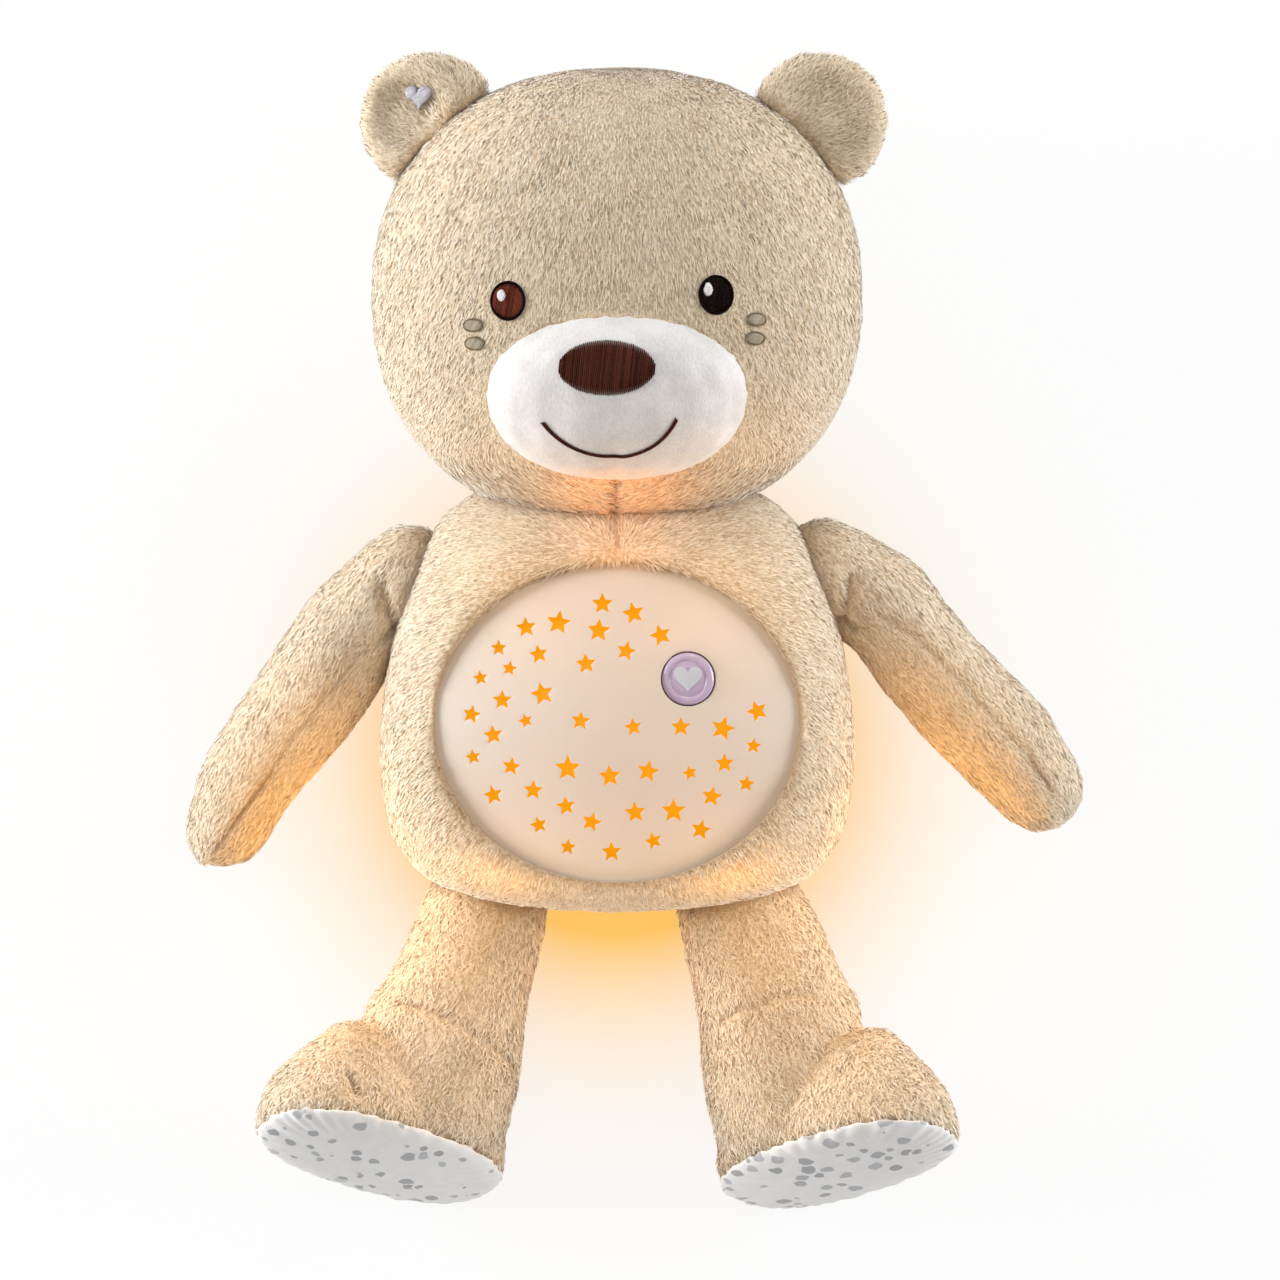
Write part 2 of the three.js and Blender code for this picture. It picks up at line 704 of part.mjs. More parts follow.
function legOf(side) {
  const sign = side === "left" ? -1 : 1;
  const pose = footTurns[side];
  const [footOut, footDown] = footShares[side].map((share) => legLength * share);
  const radii = legRadiusShares.map((share) => legHalfWidth * share);
  const hipX = sign * torsoHalfWidth * hipAcrossShares[side];
  const hip = new THREE.Vector3(hipX, -torsoBelowLamp * hipDownShare, radii[0] + hipClear);
  const foot = new THREE.Vector3(hip.x + sign * footOut, hip.y - footDown, footMidHeight);
  const heel = foot.clone().addScaledVector(toeDirection(sign, pose), -footHalfLength * heelShare);
  const between = (share) => hip.clone().lerp(heel, share).setZ(hip.z);
  const ankle = hip.clone().lerp(heel, ankleShare);
  const points = [hip, between(kneeShare), between(shinShare), ankle];
  return { points, radii, axis: new THREE.Vector3(-1, 0, 0), turn: legTurn, foot, sign, pose };
}

function toeDirection(sign, { toeRise, toeLean }) {
  const [level, lean] = [Math.cos(toeRise * degree), toeLean * degree];
  return new THREE.Vector3(
    sign * level * Math.cos(lean), level * Math.sin(lean), Math.sin(toeRise * degree),
  );
}

// Stands the foot's own axes in place: X across it, Y to the toe, Z from the sole to the instep.
function footMatrix({ foot, sign, pose }) {
  const toe = toeDirection(sign, pose);
  const down = new THREE.Vector3(0, -Math.cos(pose.soleTip * degree), Math.sin(pose.soleTip * degree));
  const up = down.addScaledVector(toe, -down.dot(toe)).normalize().negate();
  const across = new THREE.Vector3().crossVectors(toe, up);
  return new THREE.Matrix4().makeBasis(across, toe, up).setPosition(foot);
}

function footPieces(leg) {
  const matrix = footMatrix(leg);
  const form = toSolid(
    egg({
      halfWidth: footHalfWidth,
      halfLength: footHalfLength,
      front: footHeight,
      back: soleBulge,
      power: footPower,
      rings: 12,
    }).applyMatrix4(matrix),
  );
  const half = (offset) => {
    const side = new THREE.BoxGeometry(cutBlock, cutBlock, cutBlock).translate(0, 0, offset);
    return toSolid(side.applyMatrix4(matrix));
  };
  const below = half(-cutBlock / 2);
  const above = half(cutBlock / 2 - seatGap);
  return { upper: cut(form, below), sole: aboveFloor(cut(form, above)), below };
}

function addLimbs() {
  const [leftArm, rightArm] = [armOf("left"), armOf("right")];
  const limbSolid = ({ points, radii }) => toSolid(limb(points, radii));
  add("arm_left", aboveFloor(limbSolid(leftArm)), "plush");
  add("arm_right", aboveFloor(limbSolid(rightArm)), "plush");
  const legs = { left: legOf("left"), right: legOf("right") };
  for (const [side, leg] of Object.entries(legs)) {
    const { upper, sole, below } = footPieces(leg);
    const shin = cut(limbSolid(leg), below);
    add("leg_" + side, aboveFloor(join(shin, upper)), "plush");
    add("sole_" + side, sole, "sole");
  }
  return [leftArm, rightArm, legs.left, legs.right];
}

// Torso, with the lamp's pocket, the back opening and a socket for each limb

function torsoForm() {
  const length = torsoBelowLamp + torsoAboveLamp;
  const back = torsoMidHeight + restCut;
  const rings = torsoShares.map(([along, width, front, depth]) =>
    bodyRing(
      length * along - torsoBelowLamp, torsoMidHeight, torsoHalfWidth * width,
      torsoFrontDepth * front, back * depth, torsoFrontPower, torsoBackPower, bodySides,
    ),
  );
  const pole = (y) => new THREE.Vector3(0, y, torsoMidHeight);
  return loft(rings, pole(-torsoBelowLamp), pole(torsoAboveLamp));
}

const tubHalfLength = plateHalfLength - tubInsetAcross;
const tubHalfHeight = plateHalfHeight - tubInsetUp;
const flangeTop = plateEdgeHeight - plateWall - seatGap;
const flangeBottom = flangeTop - flangeWall;

function lampPocket() {
  const mouthRun = torsoMidHeight + torsoFrontDepth + cutOverrun - plateEdgeHeight;
  const tuckHeight = plateEdgeHeight - flangeBottom + 2 * seatGap;
  const grown = (size, more) => size + more + seatGap;
  const openingDepth = backLayer + 2 * cutOverrun;
  const [recessLow, recessHigh] = [flapBottom - seatGap, flapTop + seatGap];
  const recessDepth = flapRecess + cutOverrun;
  return join(
    ovalSlab(grown(tubHalfLength, 0), grown(tubHalfHeight, 0), flangeTop - backLayer, backLayer),
    ovalSlab(
      grown(plateHalfLength, plateTuck), grown(plateHalfHeight, plateTuck),
      tuckHeight, flangeBottom - seatGap,
    ),
    ovalSlab(grown(plateHalfLength, 0), grown(plateHalfHeight, 0), mouthRun, plateEdgeHeight),
    roundedSlab(openingHalfWidth, openingLow, openingHigh, openingDepth, flapCorner, -cutOverrun),
    roundedSlab(grown(flapHalfWidth, 0), recessLow, recessHigh, recessDepth, flapCorner, -cutOverrun),
  );
}

function addTorso(limbs) {
  const form = aboveFloor(toSolid(torsoForm()));
  const body = cut(form, toSolid(headForm(seatGap)), lampPocket(), ...limbs.map(socket));
  const largest = body.decompose().sort((a, b) => b.volume() - a.volume())[0];
  add("torso", largest, "plush");
}

// Star plate, diffuser and rear housing

// A shallow dome with a flat rim, as an oval shell: its outer rim lies at rimTop.
function domeShell(halfLength, halfHeight, wall, rise, rimTop, rimWidth) {
  const slope = (radius) => rise * (1 - radius ** 2);
  const profile = [];
  for (let i = 0; i <= domeRings; i++) profile.push([i / domeRings, rimTop + slope(i / domeRings)]);
  const edge = 1 + rimWidth / halfLength;
  if (rimWidth > 0) profile.push([edge, rimTop]);
  profile.push([rimWidth > 0 ? edge : 1, rimTop - wall]);
  for (let i = domeRings; i >= 0; i--) profile.push([i / domeRings, rimTop + slope(i / domeRings) - wall]);
  return toSolid(turned(profile, tubSides).scale(halfLength, halfHeight, 1));
}

function starPrism([across, up, size, turn]) {
  const outer = plateHalfLength * size;
  const points = Array.from({ length: 10 }, (_, k) => {
    const angle = (90 + turn + 36 * k) * degree;
    const radius = k % 2 ? outer * starInnerShare : outer;
    return new THREE.Vector2(
      plateHalfLength * across + radius * Math.cos(angle), plateHalfHeight * up + radius * Math.sin(angle),
    );
  });
  return toSolid(prism(new THREE.Shape(points), plateRise + 2 * plateWall, plateEdgeHeight - plateWall));
}

const [buttonX, buttonY] = [plateHalfLength * buttonPlaceShares[0], plateHalfHeight * buttonPlaceShares[1]];
const buttonReachShare = Math.hypot(...buttonPlaceShares);
const plateAtButton = plateEdgeHeight + plateRise * (1 - buttonReachShare ** 2);
const collarBottom = plateAtButton - plateWall - collarDepth;
const skirtTop = collarBottom - seatGap;
const skirtBottom = skirtTop - buttonSkirtHeight;
const buttonBoardTop = skirtBottom - buttonSpringHeight - 2 * seatGap;
const postPlaces = [-1, 1].flatMap((across) =>
  [-1, 1].map((up) => [across * tubHalfLength * columnAcrossShare, up * tubHalfHeight * columnUpShare]),
);
const postBottom = columnTop + seatGap;
const buttonPostReach = buttonRadius + buttonSkirtWidth + buttonPostRadius + seatGap;
const buttonBoardHalfLength = buttonPostReach + buttonPostRadius;
const buttonPosts = [-1, 1].map((side) => [buttonX, buttonY + side * buttonPostReach]);

function addStarPlate() {
  const dome = domeShell(
    plateHalfLength, plateHalfHeight, plateWall, plateRise, plateEdgeHeight, plateTuck,
  );
  const hole = buttonRadius + seatGap;
  const collar = drum(hole + collarWall, plateWall + collarDepth, buttonX, buttonY, collarBottom);
  const boreDepth = 2 * (plateWall + collarDepth) + cutOverrun;
  const bore = drum(hole, boreDepth, buttonX, buttonY, collarBottom - cutOverrun);
  const post = (radius, bottom) => ([x, y]) =>
    drum(radius, plateUnder(x, y) - bottom, x, y, bottom, smallSides);
  const posts = [
    ...postPlaces.map(post(postRadius, postBottom)),
    ...buttonPosts.map(post(buttonPostRadius, buttonBoardTop + seatGap)),
  ];
  const pilots = postPlaces.map(([x, y]) =>
    drum(screwShankRadius + seatGap, postBite + cutOverrun, x, y, postBottom - cutOverrun, smallSides),
  );
  const stars = join(...starShares.map(starPrism));
  add("star_plate", cut(join(dome, collar, ...posts), bore, stars, ...pilots), "plate");
}

// Height of the plate's inner face at a place, a little inside the wall.
function plateUnder(x, y) {
  const reach = Math.hypot(x / plateHalfLength, y / plateHalfHeight);
  return plateEdgeHeight + plateRise * (1 - reach ** 2) - plateWall / 2;
}

const ledgeHeight = flangeTop - ledgeDepth;
const diffuserRimTop = ledgeHeight + seatGap + diffuserWall;
const mouthLength = tubHalfLength - tubWall;
const mouthHeight = tubHalfHeight - tubWall;

function addDiffuser() {
  const dome = domeShell(
    mouthLength - seatGap, mouthHeight - seatGap, diffuserWall, diffuserRise, diffuserRimTop, 0,
  );
  const passes = postPlaces.map(([x, y]) =>
    drum(postRadius + seatGap, plateEdgeHeight, x, y, ledgeHeight - cutOverrun, smallSides),
  );
  const well = drum(
    Math.hypot(buttonBoardHalfWidth, buttonBoardHalfLength) + 2 * seatGap,
    plateEdgeHeight, buttonX, buttonY, ledgeHeight - cutOverrun,
  );
  add("diffuser", cut(dome, well, ...passes), "amber");
}

const bayLength = cellLength + cellNubLength + baySpringRoom + contactPlateWall + 4 * seatGap;
const bayHeight = cellPitch * (cellCount - 1) + 2 * cellRadius + 2 * seatGap;
const bayFloor = tubRearHeight + doorWall + seatGap;
const bayRoof = bayFloor + 2 * cellRadius + 2 * seatGap;
const chamberFloor = bayRoof + bayWall;
const doorHalfLength = bayLength / 2 + doorBorder;
const doorLow = -bayBelowLamp - bayHeight / 2 - bayWall;
const doorHigh = -bayBelowLamp + bayHeight / 2 + 2 * doorScrewColumn;
const doorMiddle = (doorLow + doorHigh) / 2;
const doorDepth = doorHigh - doorLow;
const doorScrewY = doorHigh - doorScrewColumn;
const knobY = doorHigh + knobAboveDoor;
const openingHalfWidth = doorHalfLength + openingBesideDoor;
const openingLow = doorLow - openingBelowDoor;
const openingHigh = knobY + knobHalfWidth + openingAboveKnob;
const flapHalfWidth = openingHalfWidth + flapSideBorder;
const flapTop = openingHigh + flapTopBorder;
const flapBottom = openingLow - flapBottomBorder;
const batteryLeadX = -bayLength / 2 + 2 * leadRadius;
const boardBottom = chamberFloor + boardStandoff + seatGap;
const boardTop = boardBottom + boardWall;
const boardPosts = [-1, 1].flatMap((across) =>
  [-1, 1].map((up) => [
    -boardLeft + across * (boardHalfLength - boardPostInset), up * (boardHalfHeight - boardPostInset),
  ]),
);

function addHousing() {
  const wallHeight = flangeTop - tubRearHeight;
  const inside = (width) => ovalSlab(
    mouthLength - width, mouthHeight - width, wallHeight, tubRearHeight + tubWall,
  );
  const mouth = ovalSlab(mouthLength, mouthHeight, ledgeDepth + cutOverrun, ledgeHeight);
  const shell = cut(
    join(
      ovalSlab(tubHalfLength, tubHalfHeight, wallHeight, tubRearHeight),
      ovalSlab(plateHalfLength + plateTuck, plateHalfHeight + plateTuck, flangeWall, flangeBottom),
    ),
    inside(ledgeWidth),
    mouth,
  );
  const solid = cut(
    join(shell, ...bayWalls(), ...columnsAndPosts(), speakerSeat()),
    bayRoom(),
    doorSeat(),
    knobSlot(),
    ...screwBores(),
  );
  add("rear_housing", solid, "whitePlastic");
}

// The walls round the cells, the frame round their door and the floor that the board's posts stand on
function bayWalls() {
  const [width, depth] = [bayLength + 2 * bayWall, bayHeight + 2 * bayWall];
  const [frameWidth, frameDepth] = [2 * (doorHalfLength + doorFrameWall), doorDepth + 2 * doorFrameWall];
  return [
    block(width, depth, chamberFloor - tubRearHeight, 0, -bayBelowLamp, tubRearHeight),
    block(frameWidth, frameDepth, bayFloor + bayWall - tubRearHeight, 0, doorMiddle, tubRearHeight),
    block(2 * (boardLeft + boardHalfLength), 2 * boardHalfHeight, bayWall, 0, 0, bayRoof),
    drum(doorScrewColumn, chamberFloor - tubRearHeight, 0, doorScrewY, tubRearHeight),
  ];
}

function columnsAndPosts() {
  const stand = (radius, bottom, top) => ([x, y]) => drum(radius, top - bottom, x, y, bottom, smallSides);
  return [
    ...postPlaces.map(stand(columnRadius, tubRearHeight, columnTop)),
    ...boardPosts.map(stand(boardPostRadius, bayRoof, chamberFloor + boardStandoff)),
  ];
}

function speakerSeat() {
  const room = speakerRadius + seatGap;
  return cut(
    drum(room + bayWall, bayWall + 3 * seatGap, speakerRight, -speakerDown, bayRoof),
    drum(room, bayWall + cutOverrun, speakerRight, -speakerDown, chamberFloor),
  );
}

// The room for the cells, with a pass for their lead
function bayRoom() {
  const [bottom, passBottom] = [tubRearHeight - cutOverrun, bayRoof - cutOverrun];
  const passHeight = bayWall + 2 * cutOverrun;
  return join(
    block(bayLength, bayHeight, bayRoof - bottom, 0, -bayBelowLamp, bottom),
    drum(2 * leadRadius, passHeight, batteryLeadX, -bayBelowLamp, passBottom, smallSides),
  );
}

function doorSeat() {
  const [width, depth] = [2 * (doorHalfLength + seatGap), doorDepth + 2 * seatGap];
  return block(width, depth, doorWall + seatGap + cutOverrun, 0, doorMiddle, tubRearHeight - cutOverrun);
}

function knobSlot() {
  const halfWidth = knobStemHalfWidth + seatGap;
  const height = 2 * cutOverrun + tubWall;
  return block(2 * (knobTravel + halfWidth), 2 * halfWidth, height, 0, knobY, tubRearHeight - cutOverrun);
}

// Holes for the housing screws, wide below their heads, and for the door's screw
function screwBores() {
  const headHole = screwHeadRadius + seatGap;
  const shankHole = screwShankRadius + seatGap;
  const [headBottom, shankBottom] = [tubRearHeight - cutOverrun, columnTop - columnCap - cutOverrun];
  return [
    ...postPlaces.flatMap(([x, y]) => [
      drum(headHole, columnTop - columnCap - headBottom, x, y, headBottom, smallSides),
      drum(shankHole, 2 * columnCap + cutOverrun, x, y, shankBottom, smallSides),
    ]),
    drum(shankHole, doorScrewLength + cutOverrun, 0, doorScrewY, tubRearHeight, smallSides),
  ];
}

// A screw that stands along Z with its head at the lower end.
function screw(x, y, headBottom, shankLength) {
  const driveDepth = screwHeadHeight / 2;
  const profile = [
    [0, headBottom + driveDepth],
    [screwShankRadius / 2, headBottom + driveDepth],
    [screwShankRadius / 2, headBottom],
    [screwHeadRadius, headBottom],
    [screwHeadRadius, headBottom + screwHeadHeight],
    [screwShankRadius, headBottom + screwHeadHeight],
    [screwShankRadius, headBottom + screwHeadHeight + shankLength - screwShankRadius],
    [0, headBottom + screwHeadHeight + shankLength],
  ];
  return toSolid(turned(profile, smallSides).translate(x, y, 0));
}

function addScrews() {
  const headBottom = columnTop - columnCap - screwHeadHeight - seatGap;
  postPlaces.forEach(([x, y], i) => {
    add("housing_screw_" + (i + 1), screw(x, y, headBottom, screwShankLength), "steel");
  });
  add("door_screw", screw(0, doorScrewY, tubRearHeight - screwHeadHeight / 2, doorScrewLength), "steel");
}

// Battery bay, its door and the slide switch

function addBattery() {
  const half = bayLength / 2 - seatGap;
  for (let i = 0; i < cellCount; i++) {
    const sign = i % 2 ? -1 : 1; // neighbouring cells lie the other way round
    const y = -bayBelowLamp + cellPitch * (i - (cellCount - 1) / 2);
    const z = bayFloor + seatGap + cellRadius;
    const nubEnd = half - contactPlateWall - seatGap;
    const profile = [
      [0, nubEnd],
      [cellNubRadius, nubEnd],
      [cellNubRadius, nubEnd - cellNubLength],
      [cellRadius, nubEnd - cellNubLength],
      [cellRadius, nubEnd - cellNubLength - cellLength],
      [0, nubEnd - cellNubLength - cellLength],
    ];
    const cell = turned(profile, trimSides).rotateY(90 * degree * sign).translate(0, y, z);
    add("battery_" + (i + 1), facingOut(mergeVertices(cell, weldDistance)), "cell");
    const plateX = sign * (half - contactPlateWall / 2);
    const size = 2 * contactPlateHalfSize;
    const plate = block(contactPlateWall, size, size, plateX, y, z - contactPlateHalfSize);
    add("contact_plate_" + (i + 1), plate, "steel");
    const springLength = 2 * half - contactPlateWall - 3 * seatGap - cellNubLength - cellLength;
    const spring = coil(contactSpringRadius, springLength, contactSpringTurns, contactSpringTipShare);
    spring.rotateY(90 * degree * sign).translate(-sign * half, y, z);
    add("contact_spring_" + (i + 1), spring, "steel");
  }
}

// A coil spring along Z from zero, whose far end is narrower by the share endShare.
function coil(radius, height, turns, endShare) {
  class CoilPath extends THREE.Curve {
    getPoint(t, target = new THREE.Vector3()) {
      const angle = 360 * degree * turns * t;
      const reach = radius * (1 - (1 - endShare) * t);
      const rise = springWire + (height - 2 * springWire) * t;
      return target.set(reach * Math.cos(angle), reach * Math.sin(angle), rise);
    }
  }
  const settings = { extrudePath: new CoilPath(), steps: coilStepsPerTurn * turns, bevelEnabled: false };
  return new THREE.ExtrudeGeometry(roundSection(springWire, wireSides), settings);
}

function addDoorAndSwitch() {
  const plate = block(2 * doorHalfLength, doorDepth, doorWall, 0, doorMiddle, tubRearHeight);
  const ribs = Array.from({ length: doorRibCount }, (_, k) => {
    const y = doorLow + doorBorder + doorRibPitch * k;
    return block(doorHalfLength, doorRibSize, 2 * doorRibSize, 0, y, tubRearHeight - doorRibSize);
  });
  const bottom = tubRearHeight - cutOverrun;
  const headDepth = screwHeadHeight / 2 + seatGap + cutOverrun;
  const counterbore = drum(screwHeadRadius + seatGap, headDepth, 0, doorScrewY, bottom, smallSides);
  const holeDepth = 2 * doorWall + cutOverrun;
  const hole = drum(screwShankRadius + seatGap, holeDepth, 0, doorScrewY, bottom, smallSides);
  add("battery_door", cut(join(plate, ...ribs), counterbore, hole), "whitePlastic");

  const knobTop = tubRearHeight - seatGap;
  const stemHeight = tubWall + 3 * seatGap;
  const knob = join(
    block(2 * knobHalfLength, 2 * knobHalfWidth, knobWall, 0, knobY, knobTop - knobWall),
    block(2 * knobStemHalfWidth, 2 * knobStemHalfWidth, stemHeight, 0, knobY, knobTop),
  );
  add("mode_knob", knob, "whitePlastic");
  const [length, width] = [2 * switchBodyHalfLength, 2 * switchBodyHalfWidth];
  const body = block(length, width, switchBodyHeight, 0, knobY, knobTop + stemHeight + seatGap);
  add("slide_switch", body, "blackPlastic");
}

// Button, its board, the main board, the speaker and the leads

function addButton() {
  const top = plateAtButton + buttonProud;
  const edge = top - buttonDome;
  const heartBottom = top - heartDepth;
  const stemBottom = buttonBoardTop + switchHeight + buttonTravel + 2 * seatGap;
  const skirtRadius = buttonRadius + buttonSkirtWidth;
  const profile = [
    [0, top],
    [buttonRadius * buttonCrownShare, top],
    [buttonRadius, edge],
    [buttonRadius, skirtTop],
    [skirtRadius, skirtTop],
    [skirtRadius, skirtBottom],
    [buttonStemRadius, skirtBottom],
    [buttonStemRadius, stemBottom],
    [0, stemBottom],
  ];
  const cap = toSolid(turned(profile, trimSides).translate(buttonX, buttonY, 0));
  const heart = (grow) => heartOutline([buttonX, buttonY], heartHalfWidth + grow);
  add("heart_button", cut(cap, toSolid(prism(heart(seatGap), 2 * heartDepth, heartBottom))), "lilac");
  const inlayHeight = heartDepth + heartProud - seatGap;
  add("button_heart", toSolid(prism(heart(0), inlayHeight, heartBottom + seatGap)), "heart");

  const spring = coil(buttonSpringRadius, buttonSpringHeight, buttonSpringTurns, 1);
  add("button_spring", spring.translate(buttonX, buttonY, buttonBoardTop + seatGap), "steel");
  const boardSize = [2 * buttonBoardHalfWidth, 2 * buttonBoardHalfLength, boardWall];
  add("button_board", block(...boardSize, buttonX, buttonY, buttonBoardTop - boardWall), "board");
  const switchBottom = buttonBoardTop + seatGap;
  const width = 2 * switchHalfSize;
  const body = block(width, width, switchHeight * switchBodyShare, buttonX, buttonY, switchBottom);
  const plunger = drum(switchHalfSize / 2, switchHeight, buttonX, buttonY, switchBottom, smallSides);
  add("push_switch", join(body, plunger), "blackPlastic");
}

function ledPlace(i) {
  return [-boardLeft + ledPitch * (i - (ledCount - 1) / 2), 0];
}

function addElectronics() {
  const board = block(2 * boardHalfLength, 2 * boardHalfHeight, boardWall, -boardLeft, 0, boardBottom);
  add("main_board", board, "board");
  const ledBottom = boardTop + seatGap;
  for (let i = 0; i < ledCount; i++) {
    const [x, y] = ledPlace(i);
    const shoulder = ledBottom + ledHeight - ledRadius;
    const dome = [30, 60].map((angle) => [
      ledRadius * Math.cos(angle * degree), shoulder + ledRadius * Math.sin(angle * degree),
    ]);
    const [rim, rimTop] = [ledRadius + ledFlange, ledBottom + 2 * ledFlange];
    const profile = [
      [0, ledBottom], [rim, ledBottom], [rim, rimTop],
      [ledRadius, rimTop], [ledRadius, shoulder], ...dome, [0, ledBottom + ledHeight],
    ];
    add("light_" + (i + 1), toSolid(turned(profile, smallSides).translate(x, y, 0)), "amber");
  }
  const base = chamberFloor + seatGap;
  const top = base + speakerHeight;
  const profile = [
    [0, base],
    [speakerMagnetRadius, base],
    [speakerMagnetRadius, base + speakerHeight / 2],
    [speakerRadius - speakerRim, top - speakerRim],
    [speakerRadius, top - speakerRim],
    [speakerRadius, top],
    [speakerRadius - speakerRim, top],
    [speakerRadius / 3, top - speakerConeDepth],
    [0, top - speakerConeDepth],
  ];
  const speaker = turned(profile, trimSides).translate(speakerRight, -speakerDown, 0);
  add("speaker", toSolid(speaker), "blackPlastic");
}

function addLeads() {
  const v = (x, y, z) => new THREE.Vector3(x, y, z);
  const rise = 3 * leadRadius;
  const startX = -boardLeft + boardHalfLength - boardPostInset;
  const speakerTop = chamberFloor + seatGap + speakerHeight;
  const speakerLeadY = -speakerDown - boardPostInset;
  const endX = speakerRight - speakerRadius + speakerRim;
  const speakerLead = [
    v(startX, speakerLeadY, boardTop + seatGap),
    v(startX, speakerLeadY, boardTop + rise),
    v((startX + endX) / 2, speakerLeadY, speakerTop + 2 * rise),
    v(endX, speakerLeadY, speakerTop + rise),
    v(endX, speakerLeadY, speakerTop + seatGap),
  ];
  add("speaker_lead", tube(speakerLead, leadRadius, leadSteps), "lead");
  const batteryLead = [
    v(batteryLeadX, -bayBelowLamp, bayRoof - rise),
    v(batteryLeadX, -bayBelowLamp, chamberFloor),
    v(batteryLeadX - leadRadius, -bayBelowLamp, boardBottom - rise),
    v(batteryLeadX - leadRadius, -bayBelowLamp, boardBottom - seatGap),
  ];
  add("battery_lead", tube(batteryLead, leadRadius, leadSteps), "lead");
  const boardUnder = buttonBoardTop - boardWall - seatGap;
  const buttonLead = [
    v(startX, 0, boardTop + seatGap),
    v(startX, 0, boardTop + 2 * rise),
    v((startX + buttonX) / 2, buttonY / 2, (boardTop + boardUnder) / 2),
    v(buttonX, buttonY, boardUnder - 2 * rise),
    v(buttonX, buttonY, boardUnder),
  ];
  add("button_lead", tube(buttonLead, leadRadius, leadSteps), "lead");
}

// Back flap and its hook and loop strips

function addFlap() {
  const flap = roundedSlab(flapHalfWidth, flapBottom, flapTop, flapWall, flapCorner, flapDrop);
  add("back_flap", flap, "plush");
  const length = 2 * (flapHalfWidth - flapCorner);
  const y = flapBottom + flapBottomBorder / 2;
  add("hook_strip", block(length, tapeWidth, tapeWall, 0, y, flapDrop + flapWall), "tape");
  add("loop_strip", block(length, tapeWidth, tapeWall, 0, y, flapRecess - tapeWall), "tape");
}

addHead();
addEars();
addTorso(addLimbs());
addStarPlate();
addDiffuser();
addHousing();
addScrews();
addBattery();
addDoorAndSwitch();
addButton();
addElectronics();
addLeads();
addFlap();

const bear = new THREE.Group();
bear.add(bearParts);
export default bear;
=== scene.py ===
# Plush bear with a star lamp in its belly, lying on its back.
# Metres. +Z goes up out of the belly, +Y runs to the head, +X is to the right seen from above.
import math

import bpy
import numpy as np
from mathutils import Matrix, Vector
from mathutils.bvhtree import BVHTree


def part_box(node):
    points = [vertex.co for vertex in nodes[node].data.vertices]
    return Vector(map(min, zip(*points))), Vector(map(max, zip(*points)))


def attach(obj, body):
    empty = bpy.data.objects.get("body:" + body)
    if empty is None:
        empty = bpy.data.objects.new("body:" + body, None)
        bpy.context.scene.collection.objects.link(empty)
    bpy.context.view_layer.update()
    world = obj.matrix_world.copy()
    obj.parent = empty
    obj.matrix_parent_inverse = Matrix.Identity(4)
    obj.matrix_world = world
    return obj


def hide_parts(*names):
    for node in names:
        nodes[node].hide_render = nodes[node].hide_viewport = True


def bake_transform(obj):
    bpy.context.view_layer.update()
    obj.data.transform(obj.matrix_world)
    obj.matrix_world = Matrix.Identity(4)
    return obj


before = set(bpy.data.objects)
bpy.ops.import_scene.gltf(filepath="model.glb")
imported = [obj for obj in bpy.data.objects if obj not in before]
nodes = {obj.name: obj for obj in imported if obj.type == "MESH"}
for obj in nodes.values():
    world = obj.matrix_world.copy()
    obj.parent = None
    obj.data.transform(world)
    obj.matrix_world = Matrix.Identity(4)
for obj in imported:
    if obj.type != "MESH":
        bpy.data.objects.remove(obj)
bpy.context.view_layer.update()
scene = bpy.context.scene
print("frame loaded:", len(nodes), "nodes")


# Camera, straight above the bear, far off as with a long lens

camera = {
    "across": 0.0075, "along": -0.0177, "height": 6.0,
    "frameWidth": 0.41895, "frameHeight": 0.06,  # what the frame takes in, and at which height
    "sensor": 36.0, "farthest": 30.0,
}


def setCamera():
    place = (camera["across"], camera["along"], camera["height"])
    bpy.ops.object.camera_add(location=place, rotation=(0, 0, 0))
    eye = bpy.context.object
    eye.name = "mainCamera"
    eye.data.sensor_width = camera["sensor"]
    distance = camera["height"] - camera["frameHeight"]
    eye.data.lens = camera["sensor"] * distance / camera["frameWidth"]
    eye.data.clip_end = camera["farthest"]
    scene.camera = eye


setCamera()
print("camera set")


# Small tools

def clearSelection():
    bpy.ops.object.select_all(action="DESELECT")


def choose(piece):
    clearSelection()
    piece.select_set(True)
    bpy.context.view_layer.objects.active = piece


def addPiece(name, corners, faces):
    # a mesh piece from arrays, with its place in its mesh
    mesh = bpy.data.meshes.new(name)
    points = [tuple(c) for c in np.asarray(corners, float)]
    mesh.from_pydata(points, [], [tuple(map(int, f)) for f in faces])
    mesh.update()
    piece = bpy.data.objects.new(name, mesh)
    scene.collection.objects.link(piece)
    return piece


def readAll(collection, key, width=1, kind=float):
    values = np.empty(len(collection) * width, kind)
    collection.foreach_get(key, values)
    return values.reshape(-1, width) if width > 1 else values


def cornersOf(piece):
    return readAll(piece.data.vertices, "co", 3)


def normalsOf(piece):
    return readAll(piece.data.vertices, "normal", 3)


def trianglesOf(piece):
    piece.data.calc_loop_triangles()
    return readAll(piece.data.loop_triangles, "vertices", 3, np.int32)


def readValues(piece, name):
    return readAll(piece.data.attributes[name].data, "value", kind=np.float32)


def writeValues(piece, name, values):
    attribute = piece.data.attributes.new(name, "FLOAT", "POINT")
    attribute.data.foreach_set("value", np.ascontiguousarray(values, np.float32))


def setCorners(piece, co):
    piece.data.vertices.foreach_set("co", np.ascontiguousarray(co, float).ravel())
    piece.data.update()


